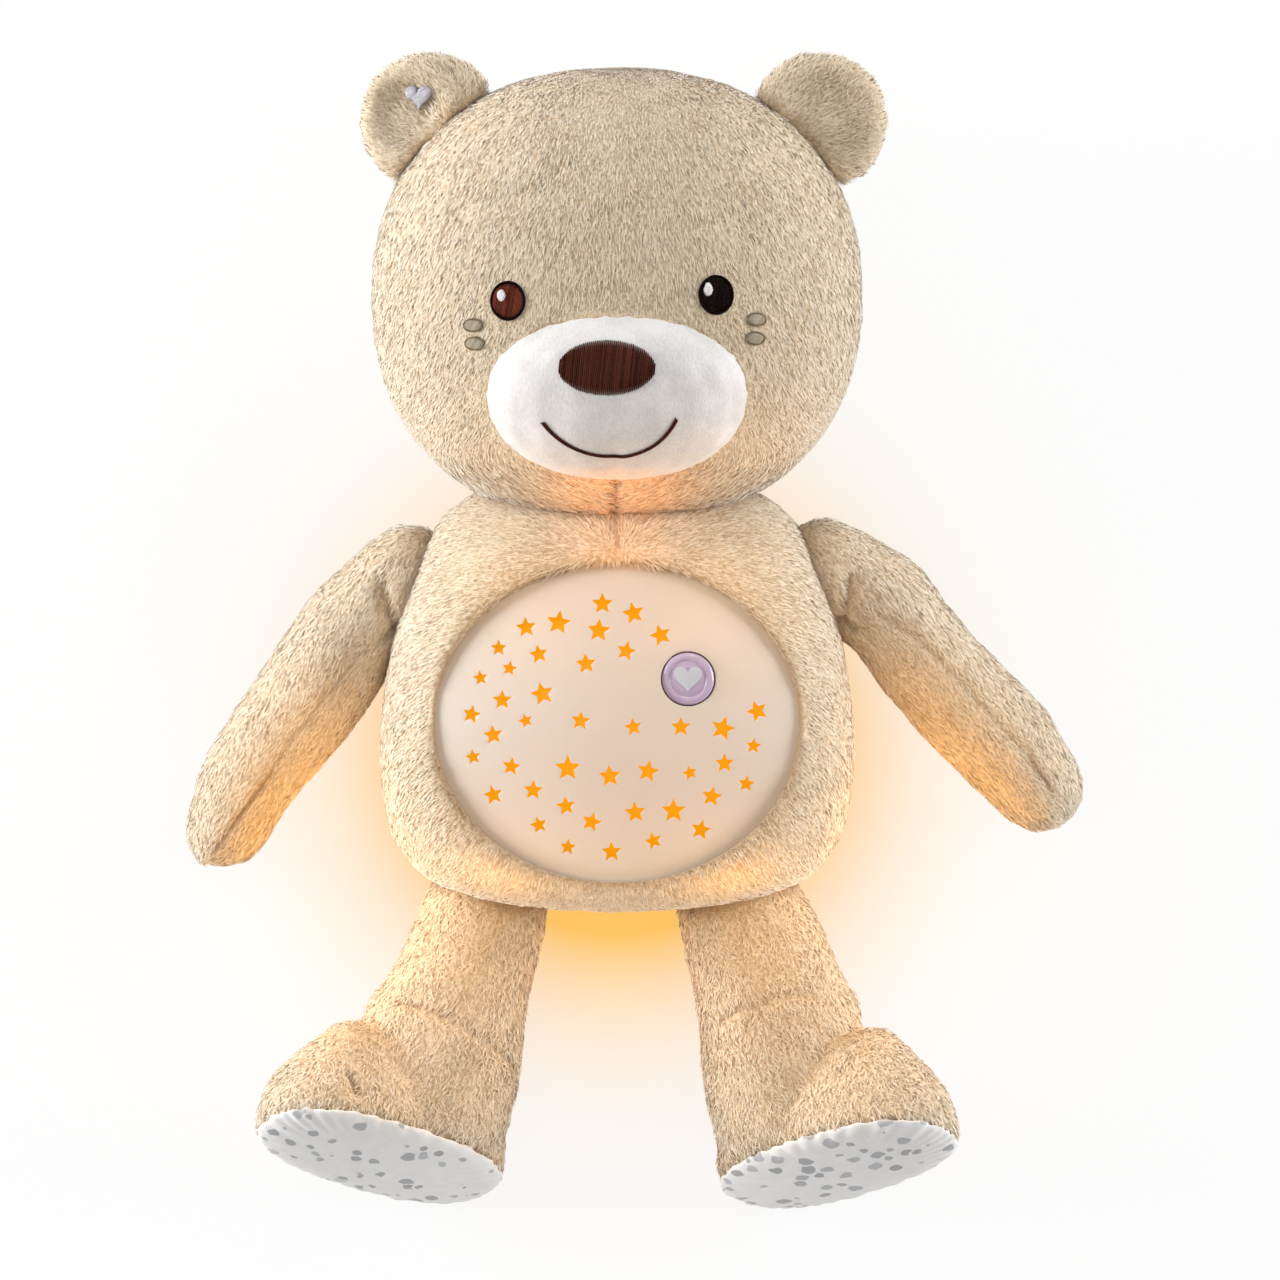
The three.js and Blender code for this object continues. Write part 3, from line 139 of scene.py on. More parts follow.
def addModifier(piece, kind, **settings):
    modifier = piece.modifiers.new(kind.lower(), kind)
    for key, value in settings.items():
        setattr(modifier, key, value)
    return modifier


def applyModifiers(piece):
    choose(piece)
    for modifier in list(piece.modifiers):
        bpy.ops.object.modifier_apply(modifier=modifier.name)


def subdivide(piece, levels=1):
    addModifier(piece, "SUBSURF", levels=levels, render_levels=levels)
    applyModifiers(piece)


def relax(piece, rounds, factor=0.5):
    addModifier(piece, "SMOOTH", factor=factor, iterations=rounds)
    applyModifiers(piece)


def bevel(piece, width, segments, degrees, **settings):
    addModifier(piece, "BEVEL", width=width, segments=segments, limit_method="ANGLE",
                angle_limit=math.radians(degrees), **settings)
    applyModifiers(piece)


def cutWith(piece, cutter):
    addModifier(piece, "BOOLEAN", operation="DIFFERENCE", object=cutter, solver="EXACT")
    applyModifiers(piece)
    bpy.data.objects.remove(cutter)


def remesh(piece, size):
    choose(piece)
    piece.data.remesh_voxel_size = size
    bpy.ops.object.voxel_remesh()


def smoothShade(piece, degrees=180):
    choose(piece)
    bpy.ops.object.shade_smooth_by_angle(angle=math.radians(degrees))


def changeWhole(piece, *steps):
    # mesh operators, each with its settings, on all of a piece
    choose(piece)
    bpy.ops.object.mode_set(mode="EDIT")
    for operator, settings in steps:
        bpy.ops.mesh.select_all(action="SELECT")
        operator(**settings)
    bpy.ops.object.mode_set(mode="OBJECT")


def copyOfNode(name, node):
    # a merged copy of a CAD node, to work on
    piece = addPiece(name, cornersOf(nodes[node]), trianglesOf(nodes[node]))
    changeWhole(piece, (bpy.ops.mesh.remove_doubles, {"threshold": 1e-5}))
    return piece


def treeOf(piece):
    corners = [Vector(c) for c in cornersOf(piece)]
    return BVHTree.FromPolygons(corners, trianglesOf(piece).tolist())


def dropOnto(tree, x, y, start=0.3):
    # the height and the normal where a line from above meets a skin
    place, normal, _, _ = tree.ray_cast(Vector((x, y, start)), Vector((0, 0, -1)))
    return (place, normal) if place else (None, None)


def smoothStep(low, high, x):
    t = np.clip((x - low) / (high - low), 0, 1)
    return t * t * (3 - 2 * t)


def unit(v):
    return v / np.maximum(np.linalg.norm(v, axis=-1, keepdims=True), 1e-12)


def finishPiece(piece, material, body):
    piece.data.materials.clear()
    piece.data.materials.append(material)
    if body:
        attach(piece, body)


# Shader tools

class Wire:
    # a socket that can be added, multiplied and so on

    def __init__(self, finish, socket):
        self.finish, self.socket = finish, socket

    def sum(self, kind, *others, **settings):
        inputs = {i: o for i, o in enumerate((self, *others))}
        return self.finish.node("ShaderNodeMath", inputs, operation=kind, **settings)

    def __add__(self, other):
        return self.sum("ADD", other)

    def __mul__(self, other):
        return self.sum("MULTIPLY", other)

    def __truediv__(self, other):
        return self.sum("DIVIDE", other)

    def __rsub__(self, other):
        inputs = {0: other, 1: self}
        return self.finish.node("ShaderNodeMath", inputs, operation="SUBTRACT")

    __radd__ = __add__
    __rmul__ = __mul__

    def clamped(self):
        return self.sum("ADD", 0.0, use_clamp=True)

    def least(self, other):
        return self.sum("MINIMUM", other)

    def most(self, other):
        return self.sum("MAXIMUM", other)

    def step(self, low, high):
        inputs = {"Value": self, "From Min": low, "From Max": high}
        return self.finish.node("ShaderNodeMapRange", inputs, interpolation_type="SMOOTHSTEP")


class Finish:
    # a material whose nodes are made one by one

    def __init__(self, name, **sockets):
        self.material = bpy.data.materials.new(name)
        self.material.use_nodes = True
        self.tree = self.material.node_tree
        self.shader = self.tree.nodes["Principled BSDF"]
        self.set(**sockets)

    def set(self, **sockets):
        for key, value in sockets.items():
            name = {"colour": "Base Color", "emission": "Emission Color",
                    "specularLevel": "Specular IOR Level"}.get(key)
            name = name or "".join(" " + c if c.isupper() else c for c in key).title()
            self.put(self.shader.inputs[name], value)

    def put(self, socket, value):
        if isinstance(value, Wire):
            self.tree.links.new(value.socket, socket)
        elif socket.type == "RGBA":
            socket.default_value = (*value[:3], 1)
        else:
            socket.default_value = value

    def node(self, kind, inputs=None, out=0, **settings):
        made = self.tree.nodes.new(kind)
        for key, value in settings.items():
            setattr(made, key, value)
        for key, value in (inputs or {}).items():
            self.put(made.inputs[key], value)
        return Wire(self, made.outputs[out])

    def coordinates(self, scale=(1, 1, 1)):
        places = self.node("ShaderNodeTexCoord", out="Object")
        return self.node("ShaderNodeMapping", {"Vector": places, "Scale": scale})

    def noise(self, places, scale, detail=2.0, roughness=0.5, out=0):
        inputs = {"Vector": places, "Scale": scale, "Detail": detail, "Roughness": roughness}
        return self.node("ShaderNodeTexNoise", inputs, out)

    def cells(self, places, scale, out=0, Randomness=1.0, **settings):
        inputs = {"Vector": places, "Scale": scale, "Randomness": Randomness}
        return self.node("ShaderNodeTexVoronoi", inputs, out, **settings)

    def bands(self, places, scale, direction, **inputs):
        inputs = {"Vector": places, "Scale": scale, **inputs}
        return self.node("ShaderNodeTexWave", inputs, bands_direction=direction)

    def vector(self, operation, first, second=None, out=0):
        inputs = {0: first} if second is None else {0: first, 1: second}
        return self.node("ShaderNodeVectorMath", inputs, out, operation=operation)

    def attribute(self, name):
        return self.node("ShaderNodeAttribute", out="Fac", attribute_name=name)

    def blend(self, amount, first, second):
        inputs = {0: amount, 6: first, 7: second}
        return self.node("ShaderNodeMix", inputs, 2, data_type="RGBA")

    def bump(self, height, strength, distance):
        inputs = {"Height": height, "Strength": strength, "Distance": distance}
        return self.node("ShaderNodeBump", inputs)


def linear(red, green, blue):
    # a colour written as it looks, turned into the shader's own scale
    def one(v):
        v /= 255
        return v / 12.92 if v <= 0.04045 else ((v + 0.055) / 1.055) ** 2.4
    return (one(red), one(green), one(blue))


# the darkest warm tone is painted shade, laid where skins meet, along seams and round the plate
plushTones = {
    "deep": linear(190, 163, 126), "root": linear(222, 201, 169), "middle": linear(236, 220, 194),
    "tip": linear(250, 239, 218), "crease": linear(142, 106, 68),
}
plushWear = {"rough": 0.8, "sheen": 0.8, "patches": 60, "deepShare": 0.68}


def makeBackingPlush():
    # the woven backing and the feet of the pile, seen between the strands
    f = Finish("plushBacking", roughness=0.95, sheenWeight=0.3, sheenRoughness=0.5,
               specularLevel=0.2)
    places = f.coordinates()
    patches = f.noise(places, plushWear["patches"], 3)
    grain = f.noise(places, 900, 2, 0.6)
    tufts = f.cells(places, 420, feature="F1")
    tone = (patches * 0.3 + grain * 0.7).step(0.3, 0.7)
    body = f.blend(tone, plushTones["deep"], plushTones["middle"])
    # painted shade darkens the backing where skins meet and along seams
    f.set(colour=f.blend(f.attribute("crease"), body, plushTones["crease"]),
          normal=f.bump(grain * 0.5 + tufts, 0.5, 0.0006))
    return f.material


def makePile():
    # strands go from a darker foot to a lighter tip, each a little different
    f = Finish("plushPile", roughness=plushWear["rough"], sheenWeight=plushWear["sheen"],
               sheenRoughness=0.45, specularLevel=0.25)
    along, own = f.attribute("along"), f.attribute("tone")
    patches = f.noise(f.coordinates(), plushWear["patches"], 2)
    body = f.blend((along * 1.2).clamped(), plushTones["root"], plushTones["tip"])
    shade = (own * 0.9 + patches * 0.1).step(0.05, 0.55)
    body = f.blend((1 - shade) * plushWear["deepShare"], body, plushTones["deep"])
    # painted shade darkens the pile where skins meet, along seams and round the plate
    f.set(colour=f.blend(f.attribute("crease"), body, plushTones["crease"]))
    return f.material


def makeVelour():
    f = Finish("whiteVelour", sheenWeight=0.4, sheenRoughness=0.4)
    nap = f.noise(f.coordinates((1, 0.45, 1)), 1500, 3, 0.6)
    patches = f.noise(f.coordinates(), 90, 2)
    tone = (nap * 0.5 + patches * 0.5).step(0.3, 0.7)
    f.set(colour=f.blend(tone, linear(204, 201, 199), linear(229, 226, 225)),
          normal=f.bump(nap, 0.45, 0.0004), roughness=0.75 + nap * 0.2)
    return f.material


def makeThread(name, deep, light):
    # rayon embroidery thread: twisted plies and a soft gloss
    f = Finish(name, specularLevel=0.06)
    places = f.coordinates()
    twist = f.bands(places, 520.0, "DIAGONAL", Distortion=1.5, Detail=1.0)
    tone = f.attribute("tone") * 0.7 + f.noise(places, 700, 2) * 0.3
    f.set(colour=f.blend(tone, deep, light), roughness=0.5 + twist * 0.2,
          normal=f.bump(twist, 0.3, 0.0001))
    return f.material


pebbles = {"scale": 150.0, "stretch": (1.0, 1.2, 0.85), "turn": (0.3, 0.2, 0.5), "even": 0.8,
           "bend": 0.003}


def makeSoleCotton():
    # white cotton with grey pebbles, each in a cell of its own
    f = Finish("soleCotton", roughness=0.85, sheenWeight=0.2, sheenRoughness=0.6)
    places = f.coordinates()
    wobble = f.noise(places, 240, 1, out=1)
    bent = f.vector("ADD", places, f.vector("MULTIPLY", wobble, (pebbles["bend"],) * 3))
    turned = f.node("ShaderNodeMapping", {"Vector": bent, "Scale": pebbles["stretch"],
                                          "Rotation": pebbles["turn"]})

    def cell(feature, out=0):
        return f.cells(turned, pebbles["scale"], out, pebbles["even"], feature=feature)

    chance = cell("F1", out=1)
    own = f.node("ShaderNodeSeparateColor", {0: chance})
    other = f.node("ShaderNodeSeparateColor", {0: chance}, out=1)
    size = own * 0.22 + 0.22
    inside = 1 - (cell("F1") / size).step(0.84, 1.0)
    mark = inside * cell("DISTANCE_TO_EDGE").step(0.04, 0.08)
    cloth = f.blend(f.noise(places, 240, 3), linear(226, 225, 223), linear(242, 241, 240))
    greys = f.blend(other, linear(150, 149, 152), linear(186, 186, 189))
    weave = f.bands(places, 900.0, "X").most(f.bands(places, 900.0, "Y"))
    f.set(colour=f.blend(mark * 0.9, cloth, greys),
          normal=f.bump(weave * 0.4 + f.noise(places, 500, 2) * 0.6, 0.25, 0.0002))
    return f.material


def makePlastic(name, colour, low, high, grain=700, strength=0.08, **more):
    f = Finish(name, **more)
    places = f.coordinates()
    texture = f.noise(places, grain, 3)
    wear = f.noise(places, 35, 3)
    darker = tuple(c * 0.93 for c in colour)
    f.set(colour=f.blend(wear, colour, darker), roughness=texture * (high - low) + low,
          normal=f.bump(texture, strength, 0.0002))
    return f.material


def makeMetal(name, colour, rough):
    f = Finish(name, metallic=1.0)
    brushed = f.noise(f.coordinates((1, 8, 1)), 600, 3)
    darker = tuple(c * 0.8 for c in colour)
    f.set(colour=f.blend(f.noise(f.coordinates(), 120, 3), colour, darker),
          roughness=brushed * 0.2 + rough, normal=f.bump(brushed, 0.1, 0.0001))
    return f.material


threads = {  # darkest and lightest colour
    # the left eye's brown is the eyes' dark brown thread painted lighter, as lit
    "brown": ((36, 11, 6), (88, 41, 28)), "litEyeBrown": ((66, 24, 14), (128, 62, 44)),
    "black": ((6, 2, 1), (30, 12, 9)), "white": ((224, 222, 220), (248, 247, 246)),
    "grey": ((168, 156, 134), (206, 196, 176)), "greyEdge": ((132, 118, 94), (160, 146, 122)),
    "pale": ((196, 192, 206), (224, 221, 231)),
}
plastics = {  # name, colour, least and most roughness, what differs from plain plastic
    "plate": ("frostedPlate", (217, 208, 197), 0.38, 0.55, {
        "grain": 500, "strength": 0.05, "subsurfaceWeight": 0.12, "subsurfaceScale": 0.01,
        "specularLevel": 0.3, "emission": linear(255, 190, 120), "emissionStrength": 0.05}),
    "amber": ("amberDiffuser", (225, 160, 30), 0.4, 0.6, {
        "grain": 260, "strength": 0.1, "emission": linear(255, 178, 8), "emissionStrength": 0.56}),
    "lens": ("lampLens", (255, 214, 150), 0.1, 0.2, {
        "grain": 500, "strength": 0.03, "emission": linear(255, 190, 90), "emissionStrength": 1.0}),
    "lilac": ("lilacPlastic", (188, 172, 205), 0.14, 0.24, {
        "grain": 400, "strength": 0.03, "coatWeight": 0.5, "coatRoughness": 0.1}),
    # a dark ring that stands for the shadow in the gap round the button: painted shadow
    "buttonShadow": ("buttonShadowLine", (86, 62, 66), 0.5, 0.6, {}),
    "heart": ("paleHeart", (196, 202, 216), 0.28, 0.4, {"grain": 400, "strength": 0.03}),
    "whitePlastic": ("whitePlastic", (233, 231, 226), 0.4, 0.55, {}),
    "blackPlastic": ("blackPlastic", (34, 34, 38), 0.4, 0.6, {}),
    "board": ("boardLacquer", (44, 106, 62), 0.25, 0.45, {"grain": 300}),
    "lead": ("leadSleeve", (178, 50, 44), 0.4, 0.55, {}),
    "cell": ("cellJacket", (72, 88, 98), 0.2, 0.35, {}),
    "tape": ("hookTape", (228, 221, 208), 0.9, 1.0, {"grain": 1600, "strength": 0.9}),
}
finishes = {
    "backing": makeBackingPlush(), "pile": makePile(), "velour": makeVelour(),
    "sole": makeSoleCotton(), "steel": makeMetal("platedSteel", linear(190, 193, 197), 0.2),
}
for key, (deep, light) in threads.items():
    finishes[key] = makeThread(key + "Thread", linear(*deep), linear(*light))
for key, (name, colour, low, high, more) in plastics.items():
    finishes[key] = makePlastic(name, linear(*colour), low, high, **more)
print("finishes made:", len(finishes))


# Soft skins

skins = {}  # each skin by the name of its CAD node


def dressSkin(skin, node, finish, body):
    # the last steps of a skin, which takes the place of its CAD node
    finishPiece(skin, finishes[finish], body)
    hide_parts(node)
    skins[node] = skin


stuffing = {"pressure": 4.0, "frames": 20, "mass": 0.3, "tension": 15.0, "bending": 2.0,
            "leastHeld": 0.02}


def stuff(piece, held, reach):
    # stuffing presses the fabric out between what holds it, and no point goes further than reach
    rest = cornersOf(piece)
    choose(piece)
    cloth = piece.modifiers.new("stuffing", "CLOTH")
    settings = cloth.settings
    settings.mass = stuffing["mass"]
    settings.tension_stiffness = settings.compression_stiffness = stuffing["tension"]
    settings.bending_stiffness = stuffing["bending"]
    settings.use_pressure = True
    settings.uniform_pressure_force = stuffing["pressure"]
    settings.effector_weights.gravity = 0
    group = piece.vertex_groups.new(name="held")
    for i in np.flatnonzero(held > stuffing["leastHeld"]):
        group.add([int(i)], float(held[i]), "REPLACE")
    settings.vertex_group_mass = "held"
    cloth.point_cache.frame_end = stuffing["frames"]
    for number in range(1, stuffing["frames"] + 1):
        scene.frame_set(number)
    shown = piece.evaluated_get(bpy.context.evaluated_depsgraph_get()).to_mesh()
    step = readAll(shown.vertices, "co", 3) - rest
    size = np.linalg.norm(step, axis=1, keepdims=True)
    piece.modifiers.remove(cloth)
    piece.vertex_groups.clear()
    scene.frame_set(1)
    setCorners(piece, rest + step * np.minimum(1, reach / np.maximum(size, 1e-9)))


def distanceTo(path, co):
    # distance from each corner to a line of points
    best = np.full(len(co), 1e9)
    path = np.asarray(path, float)
    for a, b in zip(path[:-1], path[1:]):
        span = b - a
        t = np.clip(((co - a) @ span) / max(span @ span, 1e-12), 0, 1)
        best = np.minimum(best, np.linalg.norm(co - (a + t[:, None] * span), axis=1))
    return best


def nearTo(path, co, width):
    # 1 on a line of points, falling off over the width
    return np.exp(-(distanceTo(path, co) / width) ** 2)


def onSkin(piece, places):
    # points seen from above, dropped onto a skin
    tree = treeOf(piece)
    found = [dropOnto(tree, x, y)[0] for x, y in places]
    return [p for p in found if p is not None]


def pressLine(piece, places, width, depth):
    # a seam or fold pressed into the skin along points seen from above
    co, no = cornersOf(piece), normalsOf(piece)
    near = nearTo(onSkin(piece, places), co, width)
    setCorners(piece, co - no * (depth * near)[:, None])


def keepOffFloor(piece, least=0.0002):
    co = cornersOf(piece)
    co[:, 2] = np.maximum(co[:, 2], least)
    setCorners(piece, co)


print("skins: head")
head = {
    "voxel": 0.0036, "rounds": 8, "heldWidth": 0.006, "stuffReach": 0.0022, "fill": 0.85,
    "chinSeam": [(-0.0007, 0.044), (-0.0007, 0.0367), (-0.0007, 0.0282), (-0.0007, 0.0205)],
    "seamWidth": 0.0021, "seamDepth": 0.0024,
}


def makeHead():
    skin = copyOfNode("head_plush", "head")
    remesh(skin, head["voxel"])
    relax(skin, head["rounds"])
    held = nearTo(onSkin(skin, head["chinSeam"]), cornersOf(skin), head["heldWidth"])
    stuff(skin, held, head["stuffReach"])
    subdivide(skin)
    pressLine(skin, head["chinSeam"], head["seamWidth"], head["seamDepth"])
    keepOffFloor(skin)
    smoothShade(skin)
    dressSkin(skin, "head", "backing", "bear")


makeHead()

ears = {
    "voxel": 0.0024, "rounds": 6, "fill": 0.5, "dish": 0.0058, "dishRim": (0.3, 0.86),
    "sides": {"left": ((-0.005, 0.001), 0.0175), "right": ((0.0, 0.0), 0.0225)},  # dish, its reach
}


def makeEar(side):
    node = "ear_" + side
    skin = copyOfNode(node + "_plush", node)
    remesh(skin, ears["voxel"])
    relax(skin, ears["rounds"])
    low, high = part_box(node)
    middle = np.array((low + high) / 2)
    co = cornersOf(skin)
    aside, reach = ears["sides"][side]
    away = np.linalg.norm((co - middle)[:, :2] - np.array(aside), axis=1) / reach
    inner = 1 - smoothStep(*ears["dishRim"], away)
    co[:, 2] -= ears["dish"] * inner * (co[:, 2] > middle[2])
    setCorners(skin, co)
    subdivide(skin)
    smoothShade(skin)
    dressSkin(skin, node, "backing", "bear")


for side in ("left", "right"):
    makeEar(side)

print("skins: torso")
lampHole = {"along": -0.045, "halfLength": 0.0593, "halfHeight": 0.0515, "edgeHeight": 0.081,
            "slack": 0.0002, "roomDepth": 0.2, "roomMiddle": 0.108}
backRoom = {"place": (0, -0.047, 0.0), "size": (0.072, 0.064, 0.04),
            "bare": (0.037, 0.033, 0.03)}  # where no pile grows: half width, half length, height
torso = {
    "halfWidth": 0.0772, "midHeight": 0.045, "front": 0.0505, "low": -0.1067, "high": 0.043,
    "frontPower": 2.6, "backPower": 7.0, "voxel": 0.0026, "rounds": 5, "fill": 0.7,
    "rimHeight": 0.0036, "rimReach": 1.3,  # the hem's height over the plate, and how far it spreads
    "rimHeld": 0.06, "floorHeld": 0.006, "stuffReach": 0.0015,
    "shares": [  # along from the lower end, then half width, front and back
        (0.0, 0.02, 0.02, 0.02), (0.006, 0.24, 0.28, 0.26), (0.018, 0.43, 0.45, 0.5),
        (0.034, 0.6, 0.6, 0.75), (0.066, 0.78, 0.77, 0.97), (0.112, 0.88, 0.87, 1),
        (0.175, 0.955, 0.935, 1), (0.27, 0.995, 0.985, 1), (0.372, 1, 1, 1), (0.48, 0.985, 1, 1),
        (0.6, 0.945, 0.965, 1), (0.71, 0.875, 0.885, 1), (0.79, 0.815, 0.79, 1),
        (0.857, 0.745, 0.65, 0.94), (0.913, 0.61, 0.48, 0.78), (0.96, 0.44, 0.3, 0.55),
        (1.0, 0.03, 0.02, 0.02),
    ],
    "chestSeam": [(-0.0003, 0.0216), (0.0, 0.0134), (0.0, 0.0075)],
    "seamWidth": 0.0022, "seamDepth": 0.0012,
}


def lampRadius(co):
    # 1 on the plate's outline, less inside
    along = (co[:, 1] - lampHole["along"]) / lampHole["halfHeight"]
    return np.hypot(co[:, 0] / lampHole["halfLength"], along)


def shapeTorso(co):
    # a unit ball moved onto the torso's own sections
    shares = np.array(torso["shares"])
    along = np.arccos(np.clip(-co[:, 1], -1, 1)) / math.pi
    along = 0.5 - 0.5 * np.cos(along * math.pi)
    along = 0.35 * along + 0.65 * (np.arccos(1 - 2 * along) / math.pi)
    width, front, back = (np.interp(along, shares[:, 0], shares[:, k]) for k in (1, 2, 3))
    angle = np.arctan2(co[:, 2], co[:, 0])
    behind = np.sin(angle) < 0
    power = np.where(behind, torso["backPower"], torso["frontPower"])
    depth = np.where(behind, torso["midHeight"] * back, torso["front"] * front)
    reach = (np.abs(np.cos(angle)) ** power + np.abs(np.sin(angle)) ** power) ** (-1 / power)
    y = torso["low"] + along * (torso["high"] - torso["low"])
    x = torso["halfWidth"] * width * np.cos(angle) * reach
    z = torso["midHeight"] + depth * np.sin(angle) * reach
    return np.stack([x, y, z], 1)


def makeTorso():
    clearSelection()
    bpy.ops.mesh.primitive_uv_sphere_add(segments=96, ring_count=72, radius=1,
                                         rotation=(math.pi / 2, 0, 0))
    skin = bpy.context.object
    skin.name = skin.data.name = "torso_plush"
    bpy.ops.object.transform_apply(location=False, rotation=True, scale=True)
    co = shapeTorso(cornersOf(skin))
    # towards the plate the fabric comes down to a low hem
    hem = lampHole["edgeHeight"] + torso["rimHeight"]
    down = 1 - smoothStep(1.0, torso["rimReach"], lampRadius(co))
    over = np.maximum(co[:, 2] - hem, 0)
    co[:, 2] = np.where(co[:, 2] > torso["midHeight"], co[:, 2] - over * down, co[:, 2])
    setCorners(skin, co)
    changeWhole(skin, (bpy.ops.mesh.normals_make_consistent, {"inside": False}))
    cutLampRoom(skin)
    remesh(skin, torso["voxel"])
    relax(skin, torso["rounds"])
    co = cornersOf(skin)
    ring = lampRadius(co)
    held = np.maximum(np.exp(-((ring - 1) / torso["rimHeld"]) ** 2), ring < 1)
    held = np.maximum(held, co[:, 2] < torso["floorHeld"])
    stuff(skin, held, torso["stuffReach"])
    pressLine(skin, torso["chestSeam"], torso["seamWidth"], torso["seamDepth"])
    keepOffFloor(skin)
    smoothShade(skin)
    dressSkin(skin, "torso", "backing", "bear")


def cutLampRoom(skin):
    # the room for the lamp and the opening at the back, both cut through the stuffing
    clearSelection()
    bpy.ops.mesh.primitive_cylinder_add(
        vertices=128, radius=1, depth=lampHole["roomDepth"],
        location=(0, lampHole["along"], lampHole["roomMiddle"]))
    room = bpy.context.object
    room.scale = (lampHole["halfLength"] + lampHole["slack"],
                  lampHole["halfHeight"] + lampHole["slack"], 1)
    cutWith(skin, room)
    clearSelection()
    bpy.ops.mesh.primitive_cube_add(size=1, location=backRoom["place"])
    room = bpy.context.object
    room.scale = backRoom["size"]
    cutWith(skin, room)


makeTorso()

print("skins: limbs")
limbLook = {"voxel": 0.0032, "rounds": 5, "heldWidth": 0.005, "rootHeld": 0.014,
            "stuffReach": 0.0018, "seamWidth": 0.0016, "foldWidth": 0.002, "foldDepth": 0.002,
            "fill": 0.75, "behindJoint": 0.004}
limbs = {  # fills hold where the skin is moved, how wide around, and how far
    "arm_left": {
        "joint": (-0.0679, 0.003, 0.04), "towards": (-0.0765, -0.0108, 0.036),
        "seam": [(-0.1316, -0.0857), (-0.124, -0.0753), (-0.1152, -0.0635), (-0.107, -0.0504),
                 (-0.0939, -0.034), (-0.0830, -0.0205)],
        "seamDepth": 0.0004, "deepStitches": slice(3),
        "folds": [[(-0.0722, -0.014), (-0.0745, -0.0085), (-0.0768, 0.001)],
                  [(-0.0722, -0.014), (-0.0755, -0.0165)]],
        "fills": [((-0.108, -0.077), 0.024, (-0.0028, 0.0026)),
                  ((-0.1281, -0.0951), 0.012, (-0.002, 0.003)),
                  ((-0.117, -0.035), 0.024, (0.0015, -0.0013))],
    },
    "arm_right": {
        "joint": (0.0679, 0.005, 0.04), "towards": (0.0798, -0.0058, 0.037),
        "seam": [(0.0861, -0.0085), (0.0985, -0.0167), (0.1083, -0.0265), (0.1172, -0.0363),
                 (0.1263, -0.0461), (0.1345, -0.055), (0.1417, -0.0658), (0.1473, -0.0753)],
        "seamDepth": 0.0005, "deepStitches": slice(-3, None),
        "folds": [[(0.0735, -0.0105), (0.0752, -0.004), (0.0758, 0.003)],
                  [(0.0735, -0.0105), (0.0775, -0.0135)]],
        "fills": [((0.1142, -0.0085), 0.028, (-0.0024, -0.0036))],
    },
    "leg_left": {
        "joint": (-0.0432, -0.1073, 0.0217), "towards": (-0.049, -0.135, 0.0217),
        "seam": [(-0.071, -0.1362), (-0.0648, -0.1375), (-0.0556, -0.1407), (-0.0481, -0.1453),
                 (-0.0406, -0.1512), (-0.034, -0.1574)],
        "seamDepth": 0.0007, "deepStitches": slice(3),
        "folds": [[(-0.0851, -0.1656), (-0.0874, -0.160)]],
        "fills": [((-0.0835, -0.1435), 0.0135, (-0.003, 0.008)),
                  ((-0.028, -0.138), 0.022, (-0.0025, 0.0))],
    },
    "leg_right": {
        "joint": (0.0401, -0.1073, 0.0217), "towards": (0.045, -0.135, 0.0217),
        "seam": [(0.0337, -0.1427), (0.0403, -0.1381), (0.0491, -0.1352), (0.0566, -0.1335),
                 (0.0635, -0.1329)],
        "seamDepth": 0.0007, "deepStitches": slice(3), "folds": [],
        "fills": [((0.0815, -0.144), 0.0135, (0.004, 0.0095)),
                  ((0.0665, -0.12), 0.02, (0.004, 0.0)),
                  ((0.0239, -0.138), 0.022, (0.0025, 0.0))],
    },
}


def makeLimb(name, limb):
    skin = copyOfNode(name + "_plush", name)
    remesh(skin, limbLook["voxel"])
    co, no = cornersOf(skin), normalsOf(skin)
    for (x, y), reach, push in limb["fills"]:
        near = np.exp(-(np.hypot(co[:, 0] - x, co[:, 1] - y) / reach) ** 2)
        facing = smoothStep(0, 0.5, np.abs(no[:, :2] @ unit(np.array(push))))
        co[:, :2] += (near * facing)[:, None] * np.array(push)
    setCorners(skin, co)
    relax(skin, limbLook["rounds"])
    co = cornersOf(skin)
    held = nearTo(onSkin(skin, limb["seam"]), co, limbLook["heldWidth"])
    away = np.linalg.norm(co - np.array(limb["joint"]), axis=1)
    held = np.maximum(held, away < limbLook["rootHeld"])
    stuff(skin, held, limbLook["stuffReach"])
    subdivide(skin)
    pressLine(skin, limb["seam"], limbLook["seamWidth"], limb["seamDepth"])
    for fold in limb["folds"]:
        pressLine(skin, fold, limbLook["foldWidth"], limbLook["foldDepth"])
    keepOffFloor(skin)
    smoothShade(skin)
    dressSkin(skin, name, "backing", None)


for name, limb in limbs.items():
    makeLimb(name, limb)


def bendAtRoot(piece):
    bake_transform(piece)


# Pile

fullTurn = 6.28


def flowHead(co, no):
    # combed over the crown and down the face, and in to the seam below the muzzle
    down = np.stack([co[:, 0] * 14, -no[:, 2] - 0.5, no[:, 1]], 1)
    low = smoothStep(0.05, 0.035, co[:, 1])[:, None]
    inward = np.stack([-np.sign(co[:, 0]) * 0.75, np.full(len(co), -0.45), 0 * co[:, 0]], 1)
    return down * (1 - low) + inward * low


def flowTorso(co, no):
    # away from the lamp and down to the legs
    x, y = co[:, 0], co[:, 1] + 0.045
    return np.stack([x * 13, y * 9 - 0.55, -0.15 + 0 * x], 1)


def flowAlong(start, end, drift=(0, 0, 0)):
    way = np.array(end) - np.array(start)
    way = way / np.linalg.norm(way) + np.array(drift)
    return lambda co, no: np.tile(way, (len(co), 1))


def flowEar(base):
    return lambda co, no: (co - np.array(base)) * 30 + np.array((0, 0, -0.1))


def wander(co, seed, waves):
    # a soft field that varies over the skin, from a few sine waves
    rng = np.random.default_rng(seed)
    field = np.zeros(len(co))
    for length in waves:
        turn = unit(rng.normal(size=3))
        field += np.sin(co @ turn * (2 * math.pi / length) + rng.uniform(0, fullTurn))
    return field / len(waves)

